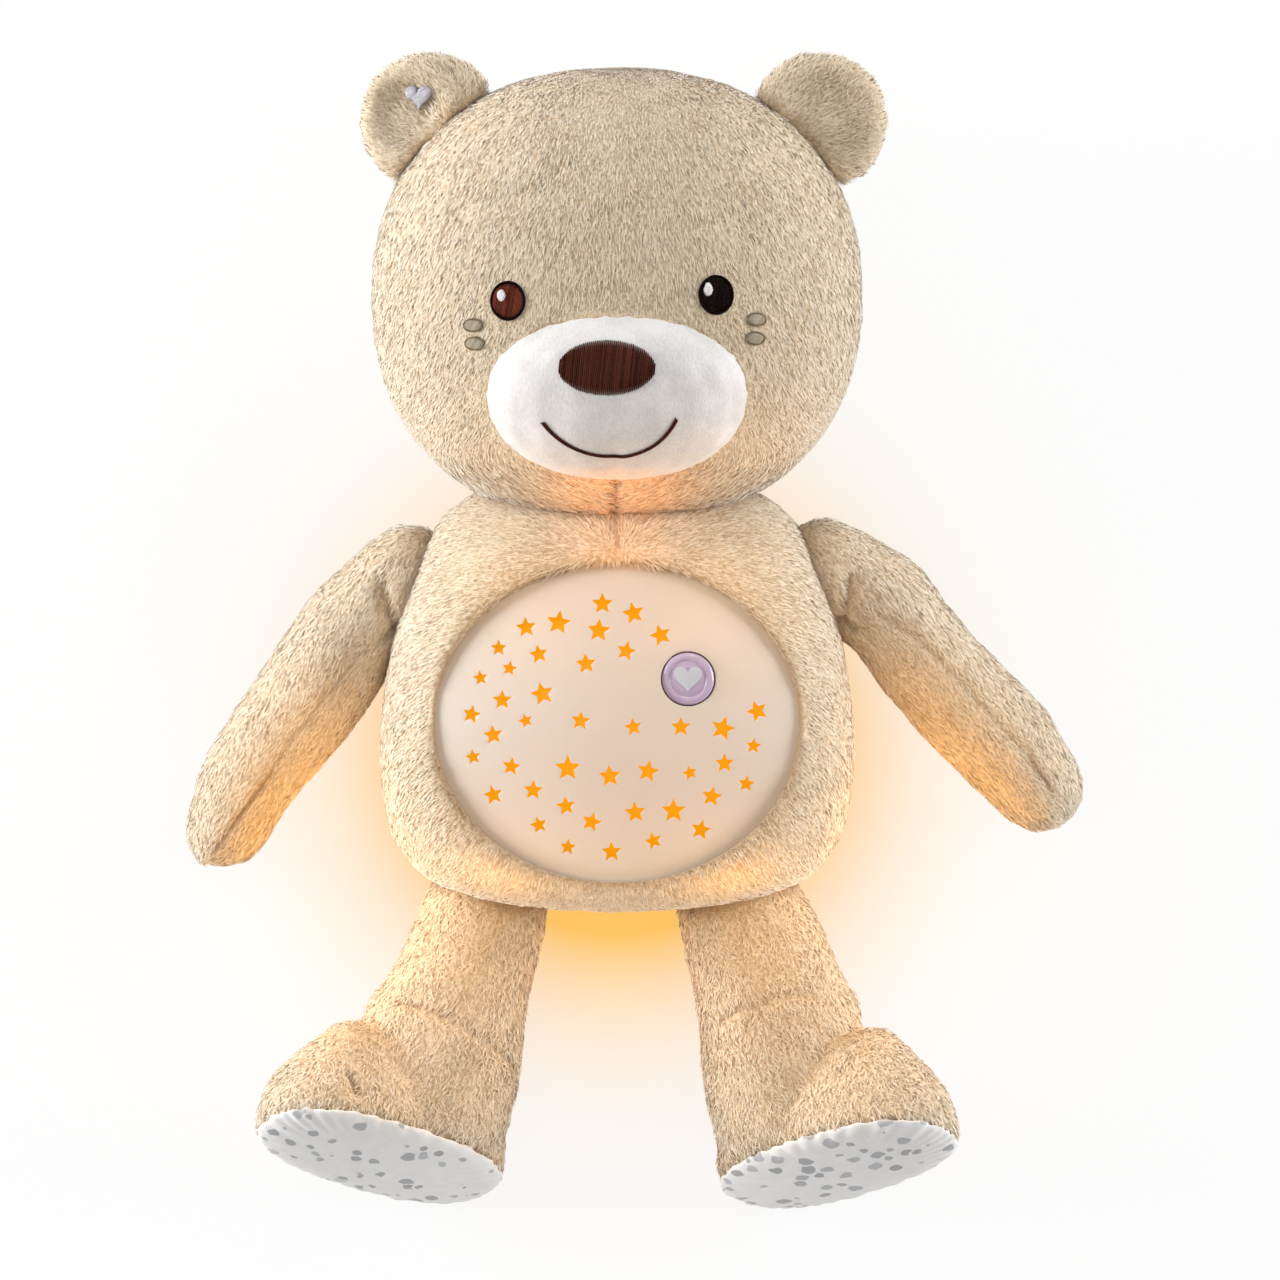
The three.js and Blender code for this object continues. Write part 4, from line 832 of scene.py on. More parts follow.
pileLook = {
    "width": 0.00036, "length": 0.0032, "lift": 0.19, "mess": 0.14, "soft": 0.9, "roll": 0.45,
    "rootDepth": 0.0004, "waist": 0.9, "waistRise": 0.62, "tipRise": 0.75, "creaseCut": 0.4,
    "leastGap": -0.0008, "leastRoot": 0.0015, "floor": 0.0003,
}
strand = {  # five corners: two at the root, two halfway and the tip
    "faces": np.array([(0, 1, 3), (0, 3, 2), (2, 3, 4)]), "along": [0, 0, 0.5, 0.5, 1.0],
    "map": np.array([(0.08, 0.05), (0.92, 0.05), (0.1, 0.55), (0.9, 0.55), (0.5, 0.95)]),
}


def scatter(skin, perArea, rng):
    # places spread evenly over a skin, each with its normal and its gap to the next skin
    co, no, tris = cornersOf(skin), normalsOf(skin), trianglesOf(skin)
    a, b, c = co[tris[:, 0]], co[tris[:, 1]], co[tris[:, 2]]
    area = np.linalg.norm(np.cross(b - a, c - a), axis=1) / 2
    count = int(area.sum() * perArea)
    chosen = tris[rng.choice(len(tris), count, p=area / area.sum())]
    r, s = rng.random(count), rng.random(count)
    over = r + s > 1
    r[over], s[over] = 1 - r[over], 1 - s[over]
    weight = np.stack([1 - r - s, r, s], 1)[:, :, None]
    roots = (co[chosen] * weight).sum(1)
    normals = unit((no[chosen] * weight).sum(1))
    return roots, normals, (readValues(skin, "gap")[chosen] * weight[:, :, 0]).sum(1)


def growPile(name, node, perArea, flow, keep, seed, **look):
    look = {**pileLook, **look}
    rng, skin = np.random.default_rng(seed), skins[node]
    roots, normals, gaps = scatter(skin, perArea, rng)
    kept = keep(roots, normals) & (gaps > look["leastGap"]) & (roots[:, 2] > look["leastRoot"])
    roots, normals, gaps = roots[kept], normals[kept], gaps[kept]
    # painted shade at creases and seams, which also shortens the strands
    paintedShade = creaseShadeAt(skin, roots, gaps)
    count = len(roots)
    lean = flow(roots, normals)
    lean = unit(lean - normals * (lean * normals).sum(1, keepdims=True))
    side = np.cross(normals, lean)
    turn = wander(roots, seed + 1, (0.011, 0.017, 0.007, 0.005)) * 0.9 + rng.normal(size=count)
    turn = turn[:, None] * look["mess"]
    lean = lean * np.cos(turn) + side * np.sin(turn)
    side = np.cross(normals, lean)
    roll = rng.normal(size=count)[:, None] * look["roll"]
    across = side * np.cos(roll) + normals * np.sin(roll)
    length = look["length"] * rng.uniform(0.7, 1.2, count)
    length *= 1 + 0.15 * wander(roots, seed + 2, (0.02, 0.013))
    length *= 1 - look["creaseCut"] * paintedShade
    if "shorten" in look:
        length *= look["shorten"](roots)
    lift = look["lift"] * rng.uniform(0.5, 1.5, count)
    lift *= 1 + 0.35 * wander(roots, seed + 3, (0.008, 0.012))
    length, lift = length[:, None], lift[:, None]
    half = look["width"] / 2 * rng.uniform(0.7, 1.3, (count, 1))
    middle = roots + lean * length * 0.5 + normals * lift * length * look["waistRise"]
    tip = roots + lean * length + normals * lift * length * look["tipRise"]
    sunk = roots - normals * look["rootDepth"]
    outward = (np.cross(across, middle - sunk) * normals).sum(1, keepdims=True)
    across = across * np.sign(outward + 1e-12) * half
    waist = across * look["waist"]
    places = np.stack([sunk - across, sunk + across, middle - waist, middle + waist, tip], 1)
    places[:, :, 2] = np.maximum(places[:, :, 2], look["floor"])
    piece = addStrands(name, places)
    writeValues(piece, "along", np.tile(strand["along"], count))
    writeValues(piece, "tone", np.repeat(rng.random(count), 5))
    writeValues(piece, "crease", np.repeat(paintedShade, 5))
    softenNormals(piece, np.repeat(normals, 5, axis=0), look["soft"])
    layMap(piece, count)
    piece.data.materials.append(finishes["pile"])
    print("pile", name, count)
    return piece


def addStrands(name, places):
    corners = places.reshape(-1, 3)
    starts = 5 * np.arange(len(places))[:, None, None]
    faces = (strand["faces"][None] + starts).reshape(-1)
    mesh = bpy.data.meshes.new(name)
    mesh.vertices.add(len(corners))
    mesh.vertices.foreach_set("co", corners.ravel())
    mesh.loops.add(len(faces))
    mesh.loops.foreach_set("vertex_index", faces.astype(np.int32))
    mesh.polygons.add(len(faces) // 3)
    mesh.polygons.foreach_set("loop_start", np.arange(0, len(faces), 3, dtype=np.int32))
    mesh.polygons.foreach_set("use_smooth", np.ones(len(faces) // 3, bool))
    mesh.update(calc_edges=True)
    piece = bpy.data.objects.new(name, mesh)
    scene.collection.objects.link(piece)
    return piece


def softenNormals(piece, skinNormals, share):
    blended = unit(skinNormals * share + normalsOf(piece) * (1 - share))
    piece.data.normals_split_custom_set_from_vertices([tuple(v) for v in blended])


def layMap(piece, count):
    # each strand has a cell of its own in the piece's map
    row = int(math.ceil(math.sqrt(count)))
    index = np.arange(count)
    cell = np.stack([index % row, index // row], 1)[:, None, :]
    corners = ((cell + strand["map"][None]) / row).reshape(-1, 2)
    loops = readAll(piece.data.loops, "vertex_index", kind=np.int32)
    layer = piece.data.uv_layers.new(name="OFBake")
    layer.uv.foreach_set("vector", corners[loops].astype(np.float32).ravel())


# strength and width of the painted shade where skins meet, and of the painted shadow round the
# plate
creaseShadeLook = {"meeting": 0.42, "meetingWidth": 0.0026, "rim": 0.6, "rimWidth": 0.022,
              "rimLeast": 0.03}
creases = {  # the skins that press on each skin, then its seams: line, width and how much painted shade
    "head": (["torso"], [(head["chinSeam"], 0.0012, 1.0)]),
    "torso": (["head", *limbs], [(torso["chestSeam"], 0.001, 0.4)]),
    "ear_left": (["head"], []), "ear_right": (["head"], []),
}
for name, limb in limbs.items():
    seam = limb["seam"]
    # each seam is painted darker, as shade in its pinch, and darker still over part of it
    lines = [(seam, 0.0008, 0.35), (seam[limb["deepStitches"]], 0.0009, 0.75)]
    creases[name] = (["torso"], lines + [(fold, 0.0011, 0.55) for fold in limb["folds"]])


def gapTo(other, co, reach=0.012):
    # how far corners lie outside another skin, less than zero inside it
    tree, around = treeOf(skins[other]), cornersOf(skins[other])
    gap = np.full(len(co), reach)
    near = np.all((co > around.min(0) - reach) & (co < around.max(0) + reach), axis=1)
    for i in np.flatnonzero(near):
        place, normal, _, far = tree.find_nearest(Vector(co[i]))
        gap[i] = min(reach, far if (Vector(co[i]) - place).dot(normal) > 0 else -far)
    return gap


def creaseShadeAt(skin, co, gaps):
    # painted shade on the pile: how dark it is where skins meet and along seams
    name = skin.name.replace("_plush", "")
    meeting = np.maximum(gaps, 0) / creaseShadeLook["meetingWidth"]
    paintedShade = creaseShadeLook["meeting"] * np.exp(-meeting ** 2)
    for line, width, strength in creases[name][1]:
        paintedShade = np.maximum(paintedShade, strength * nearTo(onSkin(skin, line), co, width))
    if name == "torso":
        # a painted shadow line on the pile round the plate's rim
        rim = np.exp(-((lampRadius(co) - 1) / creaseShadeLook["rimWidth"]) ** 2)
        paintedShade = np.maximum(paintedShade, creaseShadeLook["rim"] * rim * (co[:, 2] > creaseShadeLook["rimLeast"]))
    return paintedShade


def markCreaseShade():
    # each skin keeps its gap to the others and its painted crease shade
    for name, (others, _) in creases.items():
        co = cornersOf(skins[name])
        gaps = np.min([gapTo(other, co) for other in others], axis=0)
        writeValues(skins[name], "gap", gaps)
        writeValues(skins[name], "crease", creaseShadeAt(skins[name], co, gaps))


markCreaseShade()
print("creases marked")

face = {  # ovals: across, along, half width and half height
    "muzzle": (0.0, 0.0624, 0.0425, 0.0272),
    "eyes": [(-0.0353, 0.0924, 0.0054, 0.0061), (0.0321, 0.0943, 0.0054, 0.0061)],
    "cheeks": [(-0.0466, 0.0846, 0.0029, 0.002), (-0.0461, 0.0787, 0.0029, 0.002),
               (0.0452, 0.0864, 0.0029, 0.002), (0.0447, 0.0803, 0.0029, 0.002)],
    "frontFrom": 0.06, "muzzleReach": 1.16, "eyeReach": 1.9, "cheekReach": 2.0,
    "eyeBare": 0.93, "cheekBare": 0.85,
}


def ovalRadius(oval, roots):
    x, y, halfWidth, halfHeight = oval
    return np.hypot((roots[:, 0] - x) / halfWidth, (roots[:, 1] - y) / halfHeight)


def ovalsOfFace(muzzle, eye, cheek):
    # each oval of the face with the number for its kind
    kinds = (([face["muzzle"]], muzzle), (face["eyes"], eye), (face["cheeks"], cheek))
    return [(oval, number) for ovals, number in kinds for oval in ovals]


def keepHead(roots, normals):
    kept = np.ones(len(roots), bool)
    behind = roots[:, 2] <= face["frontFrom"]
    for oval, bare in ovalsOfFace(1.0, face["eyeBare"], face["cheekBare"]):
        kept &= behind | (ovalRadius(oval, roots) > bare)
    return kept


def shortenHead(roots):
    near = np.ones(len(roots))
    front = roots[:, 2] > face["frontFrom"]
    for oval, reach in ovalsOfFace(face["muzzleReach"], face["eyeReach"], face["cheekReach"]):
        share = 0.5 + 0.5 * smoothStep(1.0, reach, ovalRadius(oval, roots))
        near = np.where(front, np.minimum(near, share), near)
    return near


def keepTorso(roots, normals):
    ring = lampRadius(roots)
    inLamp = (ring < 1.004) | ((ring < 1.03) & (roots[:, 2] < 0.0825))
    away = np.abs(roots - np.array(backRoom["place"]))
    inRoom = np.all(away < backRoom["bare"], axis=1)
    return ~inRoom & ~(inLamp & (roots[:, 2] > 0.03))


def keepAll(roots, normals):
    return np.ones(len(roots), bool)


below = {"from": -0.25, "perArea": 0.7e6, "width": 0.0006, "length": 0.0032}


def growBoth(name, perArea, flow, keep, seed, **look):
    # a dense pile where the skin faces up, and a sparse, broad one below
    broad = {**look, "width": below["width"], "length": below["length"]}
    piece = growPile(name + "_pile", name, perArea, flow,
                     lambda r, n: keep(r, n) & (n[:, 2] > below["from"]), seed, **look)
    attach(piece, "bear")
    piece = growPile(name + "_back_pile", name, below["perArea"], flow,
                     lambda r, n: keep(r, n) & (n[:, 2] <= below["from"]), seed + 5, **broad)
    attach(piece, "bear")


limbPiles = {  # start and end of the way it is combed, its drift, and look
    "arm_left": ((-0.07, 0.003, 0), (-0.13, -0.08, 0), (0.1, 0, 0), {"mess": 0.2, "lift": 0.19}),
    "arm_right": ((0.07, 0.005, 0), (0.14, -0.07, 0), (-0.1, 0, 0), {"mess": 0.2, "lift": 0.19}),
    "leg_left": ((-0.043, -0.107, 0), (-0.07, -0.18, 0), (0, 0, 0), {"mess": 0.5, "lift": 0.25}),
    "leg_right": ((0.04, -0.107, 0), (0.068, -0.18, 0), (0, 0, 0), {"mess": 0.5, "lift": 0.25}),
}
earPile = {"left": (-0.045, 0.14), "right": (0.045, 0.14), "mess": 0.4, "lift": 0.3}


def growAll():
    growBoth("head", 1.9e6, flowHead, keepHead, 11, shorten=shortenHead)
    growBoth("torso", 1.56e6, flowTorso, keepTorso, 23, width=0.0004)
    for order, (name, (start, end, drift, look)) in enumerate(limbPiles.items()):
        way = flowAlong(start, end, drift)
        piece = growPile(name + "_pile", name, 1.8e6, way, keepAll, 40 + order, **look)
        bendAtRoot(piece)
    for order, side in enumerate(("left", "right")):
        node = "ear_" + side
        low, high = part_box(node)
        way = flowEar((*earPile[side], (low.z + high.z) / 2))
        piece = growPile(node + "_pile", node, 1.8e6, way, keepAll, 60 + order,
                         mess=earPile["mess"], lift=earPile["lift"])
        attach(piece, "bear")


growAll()
for name in limbs:
    bendAtRoot(skins[name])
print("pile grown")


# Muzzle and embroidery

muzzle = {"voxel": 0.0016, "rounds": 6, "fill": 0.8, "seamWidth": 0.0022, "seamDepth": 0.0009,
          "seam": [(-0.0007, 0.0425), (-0.0007, 0.0385), (-0.0007, 0.0355)]}


def makeMuzzle():
    skin = copyOfNode("muzzle_velour", "muzzle")
    remesh(skin, muzzle["voxel"])
    relax(skin, muzzle["rounds"])
    pressLine(skin, muzzle["seam"], muzzle["seamWidth"], muzzle["seamDepth"])
    subdivide(skin)
    smoothShade(skin)
    dressSkin(skin, "muzzle", "velour", "bear")


makeMuzzle()


def threadMesh(lines, radius, tones):
    # round threads of four sides along lines of points, with closed ends
    corners, faces, values = [], [], []
    for line, tone in zip(lines, tones):
        line = np.asarray(line, float)
        count, start = len(line), len(corners)
        ahead = unit(np.gradient(line, axis=0))
        side = unit(np.cross(ahead, np.array((0, 0, 1.0))))
        up = np.cross(side, ahead)
        for i in range(count):
            reach = radius * (0.45 if i in (0, count - 1) else 1.0)
            for k in range(4):
                turn = math.pi / 4 + math.pi / 2 * k
                away = side[i] * math.cos(turn) + up[i] * math.sin(turn)
                corners.append(line[i] + reach * away)
                values.append(tone)
        for i in range(count - 1):
            for k in range(4):
                p, q = start + 4 * i + k, start + 4 * i + (k + 1) % 4
                faces.append((p, p + 4, q + 4, q))
        faces.append(tuple(start + k for k in range(4)))
        faces.append(tuple(start + 4 * (count - 1) + k for k in (3, 2, 1, 0)))
    return np.array(corners), faces, np.array(values)


def addThreads(name, lines, radius, seed, finish, slot, *replaced):
    tones = np.random.default_rng(seed).random(len(lines))
    corners, faces, values = threadMesh(lines, radius, tones)
    piece = addPiece(name, corners, faces)
    writeValues(piece, "tone", values)
    smoothShade(piece)
    finishPiece(piece, finishes[finish], "bear")
    if replaced:
        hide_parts(*replaced)


def raised(tree, x, y, height):
    # a point over the fabric, or none where there is no fabric
    place, normal = dropOnto(tree, x, y)
    return None if place is None else np.array(place) + np.array(normal) * height


def satin(tree, outline, degrees, seed, pad=0.0007, thread=0.00042, ragged=0.00025):
    # threads side by side across an outline, in one direction, raised over the fabric
    rng = np.random.default_rng(seed)
    grain = math.radians(degrees)
    way = np.array((math.cos(grain), math.sin(grain)))
    aside = np.array((-way[1], way[0]))
    offsets, alongs = outline @ aside, outline @ way
    least, most = offsets.min(), offsets.max()
    lines = []
    for offset in np.arange(least + thread / 2, most, thread):
        hits = []
        for i in range(len(outline)):
            j = (i + 1) % len(outline)
            if (offsets[i] - offset) * (offsets[j] - offset) < 0:
                t = (offset - offsets[i]) / (offsets[j] - offsets[i])
                hits.append(alongs[i] + t * (alongs[j] - alongs[i]))
        hits.sort()
        edge = min(offset - least, most - offset) / (most - least) * 2
        sideRise = math.sqrt(max(0.05, 1 - (1 - edge) ** 4))
        for first, last in zip(hits[::2], hits[1::2]):
            first -= rng.uniform(0, ragged)
            last += rng.uniform(0, ragged)
            line = []
            for t in np.linspace(0, 1, 8):
                x, y = way * (first + t * (last - first)) + aside * offset
                rise = pad * math.sqrt(max(0, 1 - (2 * t - 1) ** 4)) * sideRise
                line.append(raised(tree, x, y, rise + thread * 0.2))
            line = [p for p in line if p is not None]
            if len(line) > 2:
                lines.append(line)
    return lines


def shortStitch(tree, placeAt, pad, thread, lift):
    # five points from one side of a line to the other, or none where the fabric ends
    line = []
    for t in np.linspace(-0.5, 0.5, 5):
        line.append(raised(tree, *placeAt(t), pad * (1 - (2 * t) ** 2) + thread * lift))
    return [] if any(p is None for p in line) else [line]


def ovalLine(x, y, halfWidth, halfHeight, count=72):
    turns = np.linspace(0, 2 * math.pi, count, endpoint=False)
    return np.stack([x + halfWidth * np.cos(turns), y + halfHeight * np.sin(turns)], 1)


def heartLine(x, y, halfWidth, count=72):
    t = np.linspace(0, 2 * math.pi, count, endpoint=False)
    across = np.sin(t) ** 3
    up = (13 * np.cos(t) - 5 * np.cos(2 * t) - 2 * np.cos(3 * t) - np.cos(4 * t) + 2.5) / 16
    return np.stack([x + halfWidth * across, y + halfWidth * up], 1)


def ringLines(tree, oval, width, pad, thread=0.0004, slant=0.35):
    # short stitches across an oval ring
    x, y, halfWidth, halfHeight = oval
    around = 2 * math.pi * math.sqrt((halfWidth ** 2 + halfHeight ** 2) / 2)
    lines = []
    for turn in np.linspace(0, 2 * math.pi, int(around / (thread * 0.9)), endpoint=False):
        def placeAt(t):
            reach, bent = 1 + t * width / halfWidth, turn + slant * t * width / halfWidth
            return (x + halfWidth * reach * math.cos(bent),
                    y + halfHeight * reach * math.sin(bent))
        lines += shortStitch(tree, placeAt, pad, thread, 0.3)
    return lines


def strokeLines(tree, path, width, thread, pad, slant=0.5, waist=0.0):
    # short slanted stitches along a line, narrower at its waist
    steps = np.linalg.norm(np.diff(path, axis=0), axis=1)
    run = np.concatenate([[0], np.cumsum(steps)])

    def at(s):
        return np.array([np.interp(s, run, path[:, k]) for k in (0, 1)])

    lines = []
    for s in np.arange(0, run[-1], thread * 0.85):
        across = width * (1 - waist * math.sin(math.pi * s / run[-1]))
        ahead = unit(at(s + 1e-4) - at(s - 1e-4))
        way = np.array((-ahead[1], ahead[0])) + ahead * slant
        lines += shortStitch(tree, lambda t: at(s) + way * t * across, pad, thread, 0.25)
    return lines


def smoothPath(points, count=60):
    points = np.asarray(points, float)
    steps = np.linalg.norm(np.diff(points, axis=0), axis=1)
    run = np.concatenate([[0], np.cumsum(steps)])
    even = np.linspace(0, run[-1], count)
    line = np.stack([np.interp(even, run, points[:, k]) for k in (0, 1)], 1)
    for _ in range(6):
        line[1:-1] = (line[:-2] + 2 * line[1:-1] + line[2:]) / 4
    return line


embroidery = {
    "nose": (-0.0033, 0.0704, 0.0157, 0.0088),
    "mouth": [(-0.0240, 0.0528), (-0.0215, 0.0497), (-0.0180, 0.0468), (-0.0135, 0.0442),
              (-0.0085, 0.0425), (-0.0030, 0.0418), (-0.0006, 0.0424), (0.0014, 0.0415),
              (0.0070, 0.0428), (0.0118, 0.0450), (0.0155, 0.0481), (0.0180, 0.0513),
              (0.0193, 0.0538)],
    "mouthWidth": 0.0013, "eyeRing": 0.0008, "eyeRingShare": 0.98, "cheekRing": 0.0006,
    "glints": [(-0.0374, 0.0941, 0.0013, 0.0019), (0.0295, 0.0961, 0.0014, 0.0022)],
    "glintRise": 0.0009, "motif": (-0.0648, 0.1597, 0.0046),
}
threadRadius = {"nose": 0.0004, "mouth": 0.00027, "eye": 0.0002772, "eyeRim": 0.00027,
                "glint": 0.00026, "cheek": 0.00028, "cheekRim": 0.00022, "motif": 0.00028}


def embroider():
    muzzleTree, headTree = treeOf(skins["muzzle"]), treeOf(skins["head"])
    lines = satin(muzzleTree, ovalLine(*embroidery["nose"]), 84, 5, pad=0.0011, thread=0.00062)
    addThreads("nose_threads", lines, threadRadius["nose"], 6, "brown", "dark_thread", "nose")
    path = smoothPath(embroidery["mouth"])
    lines = strokeLines(muzzleTree, path, embroidery["mouthWidth"], 0.0005, 0.0004, waist=0.3)
    addThreads("mouth_threads", lines, threadRadius["mouth"], 7, "brown", "dark_thread", "mouth")
    # one dark brown thread for both eyes: painted light on the left eye, and painted shade, as
    # black, on the right
    eyes = zip(("eye_left", "eye_right"), face["eyes"], embroidery["glints"], ("litEyeBrown", "black"))
    for name, (x, y, w, h), glint, fill in eyes:
        lines = satin(headTree, ovalLine(x, y, w, h), 80, 8, pad=0.0008)
        addThreads(name + "_fill", lines, threadRadius["eye"], 9, fill, "dark_thread", name)
        w, h = w * embroidery["eyeRingShare"], h * embroidery["eyeRingShare"]
        lines = ringLines(headTree, (x, y, w, h), embroidery["eyeRing"], 0.0009)
        addThreads(name + "_rim", lines, threadRadius["eyeRim"], 10, "black", "dark_thread")
        lines = satin(headTree, ovalLine(*glint), 70, 12, 0.0009, 0.00036, 0.0001)
        up = np.array((0, 0, embroidery["glintRise"]))
        lines = [[p + up for p in line] for line in lines]
        addThreads(name + "_glint", lines, threadRadius["glint"], 13, "white", "pale_thread")
    names = ("left_upper", "left_lower", "right_upper", "right_lower")
    for i, (name, oval) in enumerate(zip(names, face["cheeks"])):
        lines = satin(headTree, ovalLine(*oval), 60, 20 + i, pad=0.0008)
        addThreads("cheek_" + name + "_threads", lines, threadRadius["cheek"], 30 + i, "grey",
                   "grey_thread", "cheek_mark_" + name)
        lines = ringLines(headTree, oval, embroidery["cheekRing"], 0.0008)
        addThreads("cheek_" + name + "_rim", lines, threadRadius["cheekRim"], 40 + i,
                   "greyEdge", "grey_thread")
    lines = satin(treeOf(skins["ear_left"]), heartLine(*embroidery["motif"]), 35, 50, pad=0.0022)
    addThreads("ear_heart_threads", lines, threadRadius["motif"], 51, "pale", "pale_thread",
               "ear_motif")


embroider()
print("embroidery sewn")


# Soles

sole = {"voxel": 0.0017, "rounds": 4, "fill": 0.8, "ripple": 0.00045, "rippleFrom": (0.66, 0.97),
        "waves": (17, 29, 43), "gatherWaves": 3, "seeds": {"left": 70, "right": 71}}


def makeSole(side):
    node = "sole_" + side
    skin = copyOfNode(node + "_cotton", node)
    remesh(skin, sole["voxel"])
    relax(skin, sole["rounds"])
    subdivide(skin)
    co, no = cornersOf(skin), normalsOf(skin)
    # gathers run in from the seam, stronger at the toe and heel
    level = co - co.mean(0)
    axes = np.linalg.svd(level, full_matrices=False)[2]
    u, v = (level @ axes[k] for k in (0, 1))
    u, v = u / np.abs(u).max(), v / np.abs(v).max()
    turn = np.arctan2(v, u)
    rng = np.random.default_rng(sole["seeds"][side])
    ripple = np.zeros(len(co))
    for waves in sole["waves"]:
        fine = np.sin(turn * waves + rng.uniform(0, fullTurn))
        ripple += fine * (0.5 + 0.5 * np.sin(turn * sole["gatherWaves"] + rng.uniform(0, fullTurn)))
    depth = sole["ripple"] * smoothStep(*sole["rippleFrom"], np.hypot(u, v)) * ripple / 2
    setCorners(skin, co + no * depth[:, None])
    keepOffFloor(skin)
    smoothShade(skin)
    dressSkin(skin, node, "sole", "leg_" + side)


for side in ("left", "right"):
    makeSole(side)
print("soles made")


# Star plate

starShares = [  # across, up, size and turn in degrees
    (-0.08, 0.76, 0.061, 0), (0.09, 0.7, 0.064, 12), (-0.32, 0.64, 0.07, -8),
    (-0.5, 0.61, 0.059, 6), (-0.1, 0.59, 0.067, -4), (0.24, 0.56, 0.062, 18),
    (-0.65, 0.48, 0.047, 0), (-0.43, 0.44, 0.055, 10), (0.05, 0.46, 0.057, -14),
    (-0.17, 0.38, 0.059, 5), (-0.59, 0.35, 0.044, -10), (-0.75, 0.29, 0.044, 8),
    (-0.41, 0.19, 0.067, 14), (-0.63, 0.15, 0.056, 0), (-0.8, 0.06, 0.053, -12),
    (-0.5, 0.02, 0.042, 20), (-0.2, 0.02, 0.055, -6), (0.09, -0.02, 0.051, 9),
    (0.35, -0.02, 0.056, 0), (0.58, -0.03, 0.07, -15), (0.77, 0.08, 0.061, 22),
    (-0.68, -0.07, 0.056, 7), (0.75, -0.14, 0.045, -5), (-0.79, -0.21, 0.045, 11),
    (-0.58, -0.27, 0.053, -9), (-0.27, -0.28, 0.074, 0), (-0.04, -0.33, 0.064, 4),
    (0.17, -0.3, 0.064, -11), (0.4, -0.31, 0.043, 16), (0.59, -0.25, 0.055, 0),
    (0.71, -0.38, 0.048, -7), (-0.68, -0.45, 0.056, 13), (-0.46, -0.42, 0.056, -3),
    (-0.28, -0.52, 0.055, 8), (-0.14, -0.62, 0.058, -16), (0.1, -0.56, 0.062, 5),
    (0.31, -0.55, 0.07, 0), (0.52, -0.46, 0.059, -10), (-0.43, -0.64, 0.05, 15),
    (-0.27, -0.78, 0.047, -6), (-0.03, -0.81, 0.058, 2), (0.2, -0.74, 0.05, 19),
    (0.46, -0.67, 0.059, -12),
]
plate = {
    "rise": 0.013, "wall": 0.0022, "tuck": 0.003, "starInner": 0.46, "starTopDeep": 0.02,
    "starBelow": 0.004, "button": (0.39, 0.283), "holeRadius": 0.0089, "edgeBevel": 0.00028,
    "diffuserRise": 0.0115, "diffuserWall": 0.0014, "well": 0.0112, "wellDepth": 0.06,
}


def domeShell(name, halfLength, halfHeight, edgeHeight, rise, wall, tuck=0.0):
    # a turned shell, then stretched to an oval over the lamp's middle
    rings = 28
    outer = [(r / rings, rise * (1 - (r / rings) ** 2)) for r in range(rings + 1)]
    edge = 1 + tuck / halfLength
    profile = outer + ([(edge, 0.0), (edge, -wall)] if tuck else [(1.0, -wall)])
    profile += [(r, h - wall) for r, h in reversed(outer)][0 if tuck else 1:]
    profile = [(r * halfLength, h + edgeHeight) for r, h in profile]
    piece = turnedPiece(name, (0, 0), profile, 160)
    co = cornersOf(piece)
    co[:, 1] = co[:, 1] * halfHeight / halfLength + lampHole["along"]
    setCorners(piece, co)
    return piece


def turnedPiece(name, middle, profile, steps=96):
    corners = [(middle[0] + r, middle[1], z) for r, z in profile]
    piece = addPiece(name, corners, [])
    edges = [(i, i + 1) for i in range(len(corners) - 1)]
    piece.data.edges.add(len(edges))
    piece.data.edges.foreach_set("vertices", np.array(edges).ravel())
    piece.data.update()
    spin = {"steps": steps, "angle": 2 * math.pi, "center": (*middle, 0), "axis": (0, 0, 1)}
    changeWhole(piece, (bpy.ops.mesh.spin, spin),
                (bpy.ops.mesh.remove_doubles, {"threshold": 1e-6}),
                (bpy.ops.mesh.normals_make_consistent, {"inside": False}))
    smoothShade(piece, 40)
    return piece


def prisms(name, outlines, low, high):
    # upright prisms from outlines seen from above
    corners, faces = [], []
    for outline in outlines:
        start, count = len(corners), len(outline)
        corners += [(x, y, z) for z in (low, high) for x, y in outline]
        faces.append([start + count + k for k in range(count)])
        faces.append([start + k for k in reversed(range(count))])
        for k in range(count):
            n = (k + 1) % count
            faces.append([start + k, start + n, start + count + n, start + count + k])
    return addPiece(name, corners, faces)


def onPlate(across, up):
    return (lampHole["halfLength"] * across, lampHole["along"] + lampHole["halfHeight"] * up)


def starLine(across, up, size, turn):
    x, y = onPlate(across, up)
    points = []
    for k in range(10):
        angle = math.radians(90 + turn + 36 * k)
        reach = lampHole["halfLength"] * size * (plate["starInner"] if k % 2 else 1)
        points.append((x + reach * math.cos(angle), y + reach * math.sin(angle)))
    return points


def makePlate():
    edge, (bx, by) = lampHole["edgeHeight"], onPlate(*plate["button"])
    piece = domeShell("star_plate_dome", lampHole["halfLength"], lampHole["halfHeight"], edge,
                      plate["rise"], plate["wall"], plate["tuck"])
    low = edge - plate["starBelow"]
    outlines = [starLine(*star) for star in starShares]
    outlines.append(ovalLine(bx, by, plate["holeRadius"], plate["holeRadius"]))
    high = low + plate["starTopDeep"] + plate["rise"]
    cutWith(piece, prisms("starCutter", outlines, low, high))
    bevel(piece, plate["edgeBevel"], 2, 50, harden_normals=False)
    smoothShade(piece, 35)
    dressSkin(piece, "star_plate", "plate", "bear")
    low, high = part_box("diffuser")
    half = (high - low) / 2
    inner = domeShell("diffuser_dome", half.x, half.y, high.z - plate["diffuserRise"],
                      plate["diffuserRise"], plate["diffuserWall"])
    clearSelection()
    bpy.ops.mesh.primitive_cylinder_add(vertices=64, radius=plate["well"],
                                        depth=plate["wellDepth"], location=(bx, by, high.z))
    cutWith(inner, bpy.context.object)
    dressSkin(inner, "diffuser", "amber", "bear")


makePlate()
print("plate made")


# Heart button

